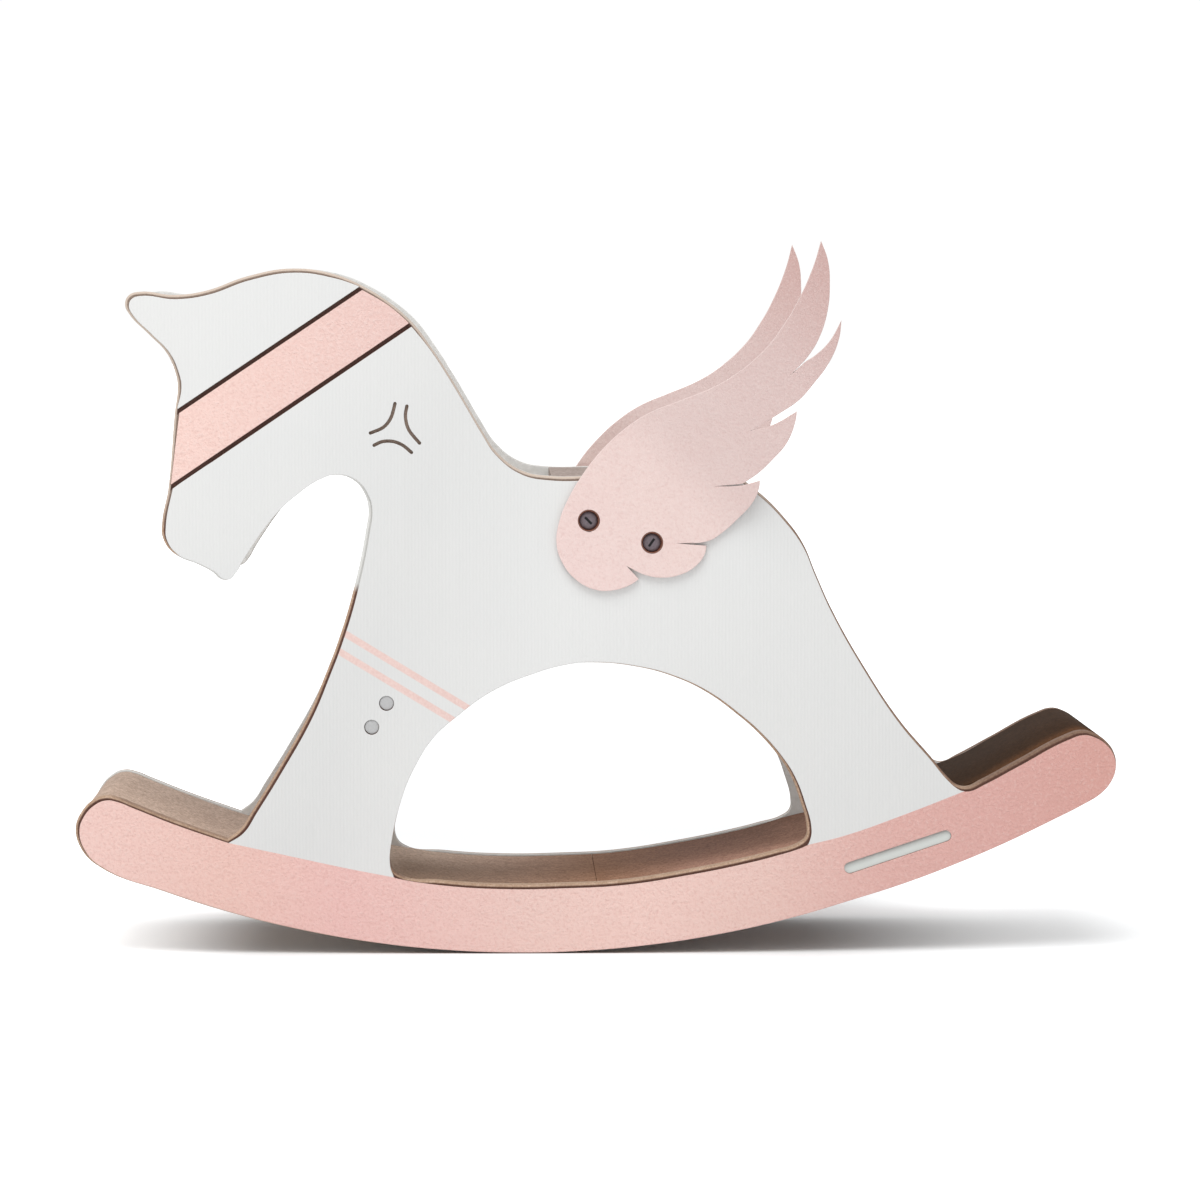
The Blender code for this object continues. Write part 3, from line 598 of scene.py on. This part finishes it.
def deck_lines():
    """Top lines of the two decks: just under the panels' edges, flush at the tail."""
    front = ([(-349.6, 86)] + TOE[2:] + [HEEL] + list(reversed(RUN_UNDER_FRONT)) + list(reversed(ARCH_FLOOR[5:]))
             + [(SEAM_X - GAP / 2, 47.3)])
    rear = inset_run([(SEAM_X + GAP / 2, 47.3)] + list(reversed(ARCH_FLOOR[:5])), DECK_DROP)
    return inset_run(front, DECK_DROP), rear + RUN_UNDER_REAR + [(240, 108.5), (259, 115.6)] + TAIL[1:7]


def groove_side(line, side, inner_a=1.8, inner_b=2.8):
    """The edge of a facing along one side of a bridle groove: crown end first."""
    (ax, az), (bx, bz) = line
    m = math.hypot(bx - ax, bz - az)
    ux, uz = (bx - ax) / m, (bz - az) / m
    ox, oz = uz * side * GROOVE / 2.0, -ux * side * GROOVE / 2.0
    return (corner(ax + ux * inner_a + ox, az + uz * inner_a + oz),
            corner(bx - ux * inner_b + ox, bz - uz * inner_b + oz))


def facings():
    """Outlines of the four facing sheets of one side."""
    d, sx, sz = SKIN_INSET, SKIN_SHIFT, -SKIN_SHIFT
    up_hi, up_lo = groove_side(GROOVE_UP, -1.0), groove_side(GROOVE_UP, 1.0)
    lo_hi, lo_lo = groove_side(GROOVE_LOW, -1.0), groove_side(GROOVE_LOW, 1.0)
    if up_hi[0][1] < up_lo[0][1]:
        up_hi, up_lo, lo_hi, lo_lo = up_lo, up_hi, lo_lo, lo_hi
    poll = inset_run(POLL_FRONT + POLL_TOP, d, sx, sz) + [up_hi[0], up_hi[1]]
    band = [up_lo[0]] + inset_run([GROOVE_UP[0]] + CREST_MID + [GROOVE_LOW[0]], d, sx, sz)[1:2] + [
        lo_hi[0], lo_hi[1], up_lo[1]]
    lift = 0.0  # the two facings close up tight
    runner = ([(p[0], p[1] - lift) + tuple(p[2:]) for p in SEAM_FRONT] + inset_run(list(reversed(ARCH_FLOOR)), d, sx, sz)
              + [(p[0], p[1] - lift) + tuple(p[2:]) for p in SEAM_REAR] + inset_run([CROUP] + TAIL + KEEL + TOE, d, sx, sz))
    body = ([lo_lo[0]] + inset_run([GROOVE_LOW[0]] + CREST + BACK, d, sx, sz)[1:]
            + [(p[0], p[1] + lift) + tuple(p[2:]) for p in reversed(SEAM_REAR)]
            + inset_run(list(reversed(ARCH_OVER)), d, sx, sz)
            + [(p[0], p[1] + lift) + tuple(p[2:]) for p in reversed(SEAM_FRONT)]
            + inset_run(CHEST + [GROOVE_LOW[1]], d, sx, sz)[:-1] + [lo_lo[1]])
    return poll, band, body, runner


def circle(cx, cz, r, n=48):
    return [(cx + r * math.cos(2 * math.pi * i / n), cz + r * math.sin(2 * math.pi * i / n)) for i in range(n)]


def fine_path(pts, n=5):
    """Catmull-Rom points through an open path."""
    out = []
    for i in range(len(pts) - 1):
        p0, p1, p2, p3 = pts[max(i - 1, 0)], pts[i], pts[i + 1], pts[min(i + 2, len(pts) - 1)]
        for j in range(n):
            t = j / n
            out.append(tuple(0.5 * (2 * p1[k] + (p2[k] - p0[k]) * t + (2 * p0[k] - 5 * p1[k] + 4 * p2[k] - p3[k]) * t * t
                                    + (3 * p1[k] - p0[k] - 3 * p2[k] + p3[k]) * t ** 3) for k in (0, 1)))
    out.append(tuple(pts[-1][:2]))
    return out


def slot_round(path, width, cap=8):
    r = width / 2.0
    tang = []
    for i in range(len(path)):
        a, b = path[max(i - 1, 0)], path[min(i + 1, len(path) - 1)]
        d = math.hypot(b[0] - a[0], b[1] - a[1])
        tang.append(((b[0] - a[0]) / d, (b[1] - a[1]) / d))
    left = [(p[0] - t[1] * r, p[1] + t[0] * r) for p, t in zip(path, tang)]
    right = [(p[0] + t[1] * r, p[1] - t[0] * r) for p, t in zip(path, tang)]

    def end(p, t, start):
        a0 = math.atan2(t[0], -t[1]) + start
        return [(p[0] + r * math.cos(a0 - math.pi * k / cap), p[1] + r * math.sin(a0 - math.pi * k / cap))
                for k in range(1, cap)]

    return left + end(path[-1], tang[-1], 0.0) + list(reversed(right)) + end(path[0], tang[0], math.pi)


def add_spline(curve, points, smooth):
    if smooth:
        sp = curve.splines.new("BEZIER")
        sp.bezier_points.add(len(points) - 1)
        for bp, p in zip(sp.bezier_points, points):
            bp.co = (p[0] * MM, p[1] * MM, 0.0)
        for bp, p in zip(sp.bezier_points, points):
            kind = "VECTOR" if len(p) == 3 else "AUTO"
            bp.handle_left_type = kind
            bp.handle_right_type = kind
    else:
        sp = curve.splines.new("POLY")
        sp.points.add(len(points) - 1)
        for bp, p in zip(sp.points, points):
            bp.co = (p[0] * MM, p[1] * MM, 0.0, 1.0)
    sp.use_cyclic_u = True


def plate(outline, holes, y_mid, thick, res=8, smooth=True):
    """Flat sheet in the side plane, as a world-placed mesh."""
    curve = bpy.data.curves.new("outline", "CURVE")
    curve.dimensions = "2D"
    curve.fill_mode = "BOTH"
    curve.resolution_u = res
    curve.extrude = thick * MM / 2.0
    add_spline(curve, outline, smooth)
    for hole, sm in holes:
        add_spline(curve, hole, sm)
    temp = bpy.data.objects.new("temp", curve)
    bpy.context.scene.collection.objects.link(temp)
    temp.rotation_euler = (math.pi / 2.0, 0.0, 0.0)
    temp.location = (0.0, y_mid * MM, 0.0)
    bpy.context.view_layer.update()
    graph = bpy.context.evaluated_depsgraph_get()
    mesh = bpy.data.meshes.new_from_object(temp.evaluated_get(graph))
    mesh.transform(temp.matrix_world)
    bpy.data.objects.remove(temp, do_unlink=True)
    bm = bmesh.new()
    bm.from_mesh(mesh)
    bmesh.ops.remove_doubles(bm, verts=bm.verts, dist=0.00002)
    bmesh.ops.dissolve_degenerate(bm, edges=bm.edges, dist=0.00002)
    bmesh.ops.recalc_face_normals(bm, faces=bm.faces)
    # merge each flat side's filler triangles, so that no sliver is left next to the edge
    y_max = max(v.co.y for v in bm.verts)
    y_min = min(v.co.y for v in bm.verts)

    def on_flat(f):
        ys = [v.co.y for v in f.verts]
        return max(ys) - min(ys) < 1e-6 and min(abs(ys[0] - y_max), abs(ys[0] - y_min)) < 1e-6

    inner = [e for e in bm.edges if len(e.link_faces) == 2 and all(on_flat(f) for f in e.link_faces)]
    bmesh.ops.dissolve_limit(bm, angle_limit=math.pi, use_dissolve_boundaries=False, verts=[], edges=inner)
    bmesh.ops.recalc_face_normals(bm, faces=bm.faces)
    bm.to_mesh(mesh)
    bm.free()
    return bpy.data.objects.new("plate", mesh)


def near_run(x, z, run, tol=0.9):
    for (ax, az), (bx, bz) in zip([p[:2] for p in run], [p[:2] for p in run[1:]]):
        m = (bx - ax) ** 2 + (bz - az) ** 2
        t = min(max(((x - ax) * (bx - ax) + (z - az) * (bz - az)) / m, 0.0), 1.0)
        if math.hypot(x - ax - t * (bx - ax), z - az - t * (bz - az)) < tol:
            return True
    return False


def rounded(obj, width, segments, weigh=None):
    """Round the sharp edges. weigh(x, y, z in mm) gives a share of the width at an edge's middle."""
    bm = bmesh.new()
    bm.from_mesh(obj.data)
    layer = bm.edges.layers.float.new("bevel_weight_edge")
    for e in bm.edges:
        if e.calc_face_angle(0.0) > math.radians(50) and len({f.normal.y > 0.9 for f in e.link_faces} | {
                f.normal.y < -0.9 for f in e.link_faces}) > 1:
            c = (e.verts[0].co + e.verts[1].co) / (2.0 * MM)
            e[layer] = 1.0 if weigh is None else weigh(c.x, c.y, c.z, e)
    bm.to_mesh(obj.data)
    bm.free()
    mod = obj.modifiers.new("round", "BEVEL")
    mod.width = width * MM
    mod.segments = segments
    mod.limit_method = "WEIGHT"
    mod.use_clamp_overlap = False
    return obj


def sharpen_flats(mesh):
    """The big flat faces keep their own normals: their outline is a sharp edge."""
    bm = bmesh.new()
    bm.from_mesh(mesh)
    tag = bm.faces.layers.int.get("flat")
    flat = {f for f in bm.faces if (f[tag] if tag else abs(f.normal.y) > 0.9999)}
    for e in bm.edges:
        if len([f for f in e.link_faces if f in flat]) == 1:
            e.smooth = False
    bm.to_mesh(mesh)
    bm.free()


def place(obj, name, mat, slot, *nodes, smooth_angle=35):
    obj.name = name
    obj.data.name = name
    PIECES.objects.link(obj)
    bpy.context.view_layer.update()
    if obj.modifiers:
        graph = bpy.context.evaluated_depsgraph_get()
        mesh = bpy.data.meshes.new_from_object(obj.evaluated_get(graph))
        obj.modifiers.clear()
        obj.data = mesh
        mesh.name = name
    obj.data.materials.clear()
    obj.data.materials.append(mat)
    for p in obj.data.polygons:
        p.use_smooth = True
        p.material_index = 0
    obj.data.set_sharp_from_angle(angle=math.radians(smooth_angle))
    sharpen_flats(obj.data)
    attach(obj, BODY)
    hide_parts(*nodes)
    return obj


def turned(profile, cx, cz, sign, n, ring=False):
    bm = bmesh.new()
    verts = [bm.verts.new((r * MM, 0.0, y * MM)) for r, y in profile]
    edges = [bm.edges.new(p) for p in zip(verts, verts[1:])]
    if ring:
        edges.append(bm.edges.new((verts[-1], verts[0])))
    bmesh.ops.spin(bm, geom=verts + edges, cent=(0, 0, 0), axis=(0, 0, 1), angle=2 * math.pi, steps=n, use_merge=True)
    bmesh.ops.remove_doubles(bm, verts=bm.verts, dist=1e-6)
    bmesh.ops.recalc_face_normals(bm, faces=bm.faces)
    mesh = bpy.data.meshes.new("turned")
    bm.to_mesh(mesh)
    bm.free()
    mesh.transform(Matrix.Translation((cx * MM, 0.0, cz * MM)) @ Matrix.Rotation(-sign * math.pi / 2.0, 4, "X"))
    if sign > 0:
        pass
    return bpy.data.objects.new("turned", mesh)


def wing_out(x, z):
    s = (x + z) * math.sqrt(0.5) - WING_BEND_START
    if s <= 0.0:
        return 0.0
    ease = 24.0
    if s < ease:
        return WING_BEND_SLOPE * s * s / (2.0 * ease)
    return WING_BEND_SLOPE * (s - ease / 2.0)


def build_side(tag, sign):
    yc = sign * (Y_CORE - CORE_T / 2.0)
    ys = sign * (Y_SKIN - SKIN_T / 2.0)
    poll, band, body, runner = facings()

    def core_edge(x, y, z, e):
        if abs(e.verts[0].co.y - e.verts[1].co.y) > 1e-6:
            return 0.0
        return 1.0 if abs(y) > Y_CORE - 1.0 else 0.35

    def skin_edge(x, y, z, e):
        if abs(e.verts[0].co.y - e.verts[1].co.y) > 1e-6 or abs(y) < Y_SKIN - 1.0:
            return 0.0
        if near_run(x, z, SEAM_FRONT) or near_run(x, z, SEAM_REAR):
            return 0.0
        if near_run(x, z, GROOVE_UP, 2.0) or near_run(x, z, GROOVE_LOW, 2.0):
            return 0.35
        return 1.0

    drilled = [(circle(x, z, SHANK_R + GAP, 24), False) for x, z in WING_SCREWS]
    core = plate(SIDE, [(ARCH_OVER + ARCH_FLOOR, True)] + drilled, yc, CORE_T, res=7)
    place(rounded(core, CORE_ROUND, 5, core_edge), tag + "_board", M_CORE, "brown_board", tag + "_side_core",
          smooth_angle=40)

    place(rounded(plate(poll, [], ys, SKIN_T), 0.5, 2, skin_edge), tag + "_poll_facing", M_WHITE, "white_facing",
          tag + "_poll_skin")
    place(rounded(plate(band, [], ys, SKIN_T), 0.5, 2, skin_edge), tag + "_bridle", M_BAND, "pink_felt_band",
          tag + "_bridle_band")

    holes = [(slot_round(fine_path(e), EYE_W), False) for e in EYE]
    holes += [(circle(x, z, CAP_R + GAP), False) for x, z in CAPS]
    holes += [(circle(x, z, CUP_R + GAP), False) for x, z in WING_SCREWS]

    def body_edge(x, y, z, e):
        if -160 < x < -112 and 330 < z < 375 or any(math.hypot(x - cx, z - cz) < 6.0 for cx, cz in CAPS):
            return 0.3 if skin_edge(x, y, z, e) else 0.0
        return skin_edge(x, y, z, e)

    place(rounded(plate(body, holes, ys, SKIN_T), 0.5, 2, body_edge), tag + "_body_facing", M_WHITE, "white_facing",
          tag + "_body_skin")
    runner = plate(runner, [(slot_round(fine_path(SLOT, 2), SLOT_W), False)], ys, SKIN_T)
    place(rounded(runner, 0.5, 2, skin_edge), tag + "_runner_facing", M_PINK, "pink_facing", tag + "_runner_skin")

    floor_t = 0.8
    insert = plate(slot_round(fine_path(SLOT, 2), SLOT_W + 0.6), [],
                   sign * (Y_CORE + GAP / 2 + floor_t / 2.0), floor_t, res=1, smooth=False)
    place(rounded(insert, 0.1, 2), tag + "_slot_floor", M_SLOT, "slot_floor", tag + "_slot_insert")

    # felt wing: cut at close steps along its feathers so that the bend is smooth, then bent outwards
    w = plate(WING, [(circle(x, z, CUP_R + GAP), False) for x, z in WING_SCREWS],
              sign * (Y_SKIN + GAP + WING_T / 2.0), WING_T, res=8)

    slits = ([(54, 276), (73.8, 274.4)], [(97.6, 316.3), (79.3, 314.4)])

    def wing_edge(x, y, z, e):
        if any(math.hypot(x - cx, z - cz) < CUP_R + 1.5 for cx, cz in WING_SCREWS):
            return 0.3
        return 0.1 if any(near_run(x, z, slit, 0.25) for slit in slits) else 1.0

    w = rounded(w, 0.5, 3, wing_edge)
    PIECES.objects.link(w)
    bpy.context.view_layer.update()
    mesh = bpy.data.meshes.new_from_object(w.evaluated_get(bpy.context.evaluated_depsgraph_get()))
    w.modifiers.clear()
    PIECES.objects.unlink(w)
    bm = bmesh.new()
    bm.from_mesh(mesh)
    flat_layer = bm.faces.layers.int.new("flat")
    for f in bm.faces:
        f[flat_layer] = int(abs(f.normal.y) > 0.9999)
    d = math.sqrt(0.5)
    for a, b in ((d, d), (d, -d)):
        lo, hi = (150, 460) if b > 0 else (-330, -60)
        s = lo
        while s < hi:
            bmesh.ops.bisect_plane(bm, geom=bm.verts[:] + bm.edges[:] + bm.faces[:],
                                   plane_co=(s * MM * a, 0.0, s * MM * b), plane_no=(a, 0.0, b))
            s += 5.0
    for v in bm.verts:
        x, z = v.co.x / MM, v.co.z / MM
        v.co.y += sign * wing_out(x, z) * MM
    bmesh.ops.triangulate(bm, faces=[f for f in bm.faces if len(f.verts) > 4])
    bm.to_mesh(mesh)
    bm.free()
    w.data = mesh
    for p in mesh.polygons:
        p.use_smooth = True
    sharpen_flats(mesh)
    mod = w.modifiers.new("even_normals", "WEIGHTED_NORMAL")
    mod.mode = "FACE_AREA"
    mod.keep_sharp = True
    place(w, tag + "_felt_wing", M_FELT, "pink_felt_wing", tag + "_wing", smooth_angle=60)

    for (x, z), where, deg in zip(WING_SCREWS, ("front", "rear"), SCREW_TURNS):
        y0 = Y_CORE + GAP
        y1 = Y_SKIN + GAP + WING_T
        cup = turned([(CUP_R - 0.25, y1 - 0.2), (CUP_R, y1 - 0.45), (CUP_R, y0), (3.4, y0), (3.4, y0 + 1.2),
                      (CUP_R - 0.6, y0 + 1.2), (CUP_R - 0.5, y0 + 1.6), (CUP_R - 0.45, y1 - 0.4),
                      (CUP_R - 0.38, y1 - 0.2)], x, z, sign, 64, ring=True)
        place(cup, tag + "_" + where + "_cup", M_CUP, "brown_cup", tag + "_" + where + "_screw_cup")
        base = y0 + 1.2 + GAP
        rim = base + 0.9
        rise = 1.7
        head_r = SCREW_R + 0.25
        prof = [(0.0, rim + rise)]
        for dg in (84, 78, 72, 64, 56, 47, 38, 28, 18, 9):
            a = math.radians(dg)
            prof.append((head_r * math.cos(a), rim + rise * math.sin(a)))
        prof += [(head_r, rim), (head_r, base + 0.15), (head_r - 0.15, base), (SHANK_R, base),
                 (SHANK_R, Y_IN + 0.5), (0.0, Y_IN + 0.5)]
        x += HEAD_SHIFT
        head = turned(prof, x, z, sign, 64)
        # driver slot with rounded ends, cut by a short bar
        bar = plate(slot_round(fine_path(((-2.3, 0.0), (2.3, 0.0)), 2), 1.5, 6), [], 0.0, 3.0, res=1, smooth=False)
        bar.data.transform(Matrix.Translation((x * MM, sign * (rim + rise + 0.4) * MM, z * MM))
                           @ Matrix.Rotation(-math.radians(deg), 4, "Y"))
        PIECES.objects.link(bar)
        mod = head.modifiers.new("slot", "BOOLEAN")
        mod.operation = "DIFFERENCE"
        mod.solver = "EXACT"
        mod.object = bar
        place(head, tag + "_" + where + "_screw", M_SCREW, "dark_screw", tag + "_" + where + "_wing_screw")
        bpy.data.objects.remove(bar, do_unlink=True)

    for (x, z), where in zip(CAPS, ("upper", "lower")):
        y0 = Y_CORE + GAP
        r = CAP_R + 0.1  # pushed up and back in its hole, so the gap shows as a crescent
        cap = turned([(0.0, y0 + 1.3), (2.4, y0 + 1.3), (3.6, y0 + 1.26), (r - 0.5, y0 + 1.15), (r - 0.15, y0 + 0.95),
                      (r, y0 + 0.6), (r, y0), (0.0, y0)], x + 0.16, z + 0.16, sign, 64)
        place(cap, tag + "_" + where + "_cap", M_CAP, "grey_cap", tag + "_" + where + "_leg_cap")


build_side("left", -1.0)
build_side("right", 1.0)


def deck(points):
    low = []
    for i, (x, z) in enumerate(points):
        a, b = points[max(i - 1, 0)], points[min(i + 1, len(points) - 1)]
        d = math.hypot(b[0] - a[0], b[1] - a[1])
        low.append((x + (b[1] - a[1]) / d * DECK_T, z - (b[0] - a[0]) / d * DECK_T))
    ring = ([corner(*points[0])] + points[1:-1] + [corner(*points[-1]), corner(*low[-1])]
            + list(reversed(low[1:-1])) + [corner(*low[0])])
    return plate(ring, [], 0.0, 2.0 * HALF_IN, res=8)


front_line, rear_line = deck_lines()
place(rounded(deck(front_line), 0.5, 2), "front_deck", M_DECK_F, "deck_board", "front_runner_deck")
place(rounded(deck(rear_line), 0.5, 2), "rear_deck", M_DECK_R, "deck_board", "rear_runner_deck")


def bar(lo, hi, round_mm, segs):
    bm = bmesh.new()
    bmesh.ops.create_cube(bm, size=1.0)
    mesh = bpy.data.meshes.new("bar")
    bm.to_mesh(mesh)
    bm.free()
    for v in mesh.vertices:
        v.co = Vector([lo[i] + (v.co[i] + 0.5) * (hi[i] - lo[i]) for i in range(3)])
    obj = bpy.data.objects.new("bar", mesh)
    return rounded(obj, round_mm, segs)


lo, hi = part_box("seat_deck")
place(bar(lo, hi, 3.0, 6), "seat_board", M_SEAT, "deck_board", "seat_deck")
for where in ("front", "rear"):
    lo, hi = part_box(where + "_seat_rail")
    place(bar(lo, hi, 1.5, 4), where + "_rail", M_RAIL, "rail_wood", where + "_seat_rail")

(cx0, cz0), (cx1, cz1) = CAPS
rail = bar((-0.014, -HALF_IN * MM, -0.020), (0.014, HALF_IN * MM, 0.020), 1.5, 4)
rail.data.transform(Matrix.Translation(((cx0 + cx1) / 2 * MM, 0.0, (cz0 + cz1) / 2 * MM))
                    @ Matrix.Rotation(math.atan2(cx0 - cx1, cz0 - cz1), 4, "Y"))
place(rail, "leg_cross_rail", M_RAIL, "rail_wood", "leg_rail")

# ------------------------------------------------------------------ stage
bm = bmesh.new()
bmesh.ops.create_grid(bm, x_segments=2, y_segments=2, size=30.0)
mesh = bpy.data.meshes.new("studio_floor")
bm.to_mesh(mesh)
bm.free()
floor = bpy.data.objects.new("studio_floor", mesh)
bpy.context.scene.collection.objects.link(floor)
floor.location = (0.0, 0.0, -0.0003)
k = Mat("pale_floor")
fn = k.noise(3, 2)
far = k.math("SQRT", k.math("ADD", k.math("MULTIPLY", k.sep.outputs["X"], k.sep.outputs["X"]),
                            k.math("MULTIPLY", k.sep.outputs["Y"], k.sep.outputs["Y"])))
fx = k.sep.outputs["X"]
# painted light: emission that only the camera sees lightens the floor shadow off the toe and towards the tail
painted_light_pool = k.math("ADD", k.rng(fx, -0.345, -0.213, 0.60, 0.0, smooth=True), k.rng(fx, 0.13, 0.29, 0.0, 0.28, smooth=True))
seen = k.nt.nodes.new("ShaderNodeLightPath")
glow = k.math("ADD", k.rng(far, 0.8, 2.5, 0.0, 0.35), k.math("MULTIPLY", painted_light_pool, seen.outputs["Is Camera Ray"]))
k.link(glow, k.bsdf.inputs["Emission Strength"])
k.bsdf.inputs["Specular IOR Level"].default_value = 0.0
k.bsdf.inputs["Emission Color"].default_value = (1.0, 1.0, 1.0, 1.0)
mesh.materials.append(k.out(k.ramp(fn, [(0.3, (0.925, 0.94, 0.95)), (0.7, (0.94, 0.955, 0.965))]), 0.9))

world = bpy.data.worlds.new("studio")
bpy.context.scene.world = world
world.use_nodes = True
wt = world.node_tree
bg = wt.nodes["Background"]
bg.inputs["Color"].default_value = (1.0, 1.0, 1.0, 1.0)
bg.inputs["Strength"].default_value = 0.80
bright = wt.nodes.new("ShaderNodeBackground")
bright.inputs["Strength"].default_value = 1.02
path = wt.nodes.new("ShaderNodeLightPath")
both = wt.nodes.new("ShaderNodeMixShader")
wt.links.new(path.outputs["Is Camera Ray"], both.inputs[0])
wt.links.new(bg.outputs[0], both.inputs[1])
wt.links.new(bright.outputs[0], both.inputs[2])
wt.links.new(both.outputs[0], wt.nodes["World Output"].inputs["Surface"])
bright.inputs["Color"].default_value = (1.0, 1.0, 1.0, 1.0)


def soft_light(name, loc, target, size, energy, colour=(1, 1, 1)):
    data = bpy.data.lights.new(name, "AREA")
    data.shape = "DISK"
    data.size = size
    data.energy = energy
    data.color = colour
    o = bpy.data.objects.new(name, data)
    bpy.context.scene.collection.objects.link(o)
    o.location = loc
    o.rotation_euler = (Vector(target) - Vector(loc)).to_track_quat("-Z", "Y").to_euler()
    return o


soft_light("key_light", (-0.35, -1.7, 2.9), (0.0, 0.0, 0.2), 2.2, 58.0)

bpy.context.scene.view_settings.view_transform = "Standard"
bpy.context.scene.view_settings.look = "None"

# ------------------------------------------------------------------ camera
cam_data = bpy.data.cameras.new("camera")
cam = bpy.data.objects.new("camera", cam_data)
bpy.context.scene.collection.objects.link(cam)
bpy.context.scene.camera = cam
cam.location = (-0.075, -0.115 - 4.013, 0.449)
aim = Vector((0.0023, -0.115, 0.2379))
cam.rotation_euler = (aim - cam.location).to_track_quat("-Z", "Y").to_euler()
cam_data.sensor_width = 36.0
cam_data.lens = 179.7
cam_data.clip_end = 100.0
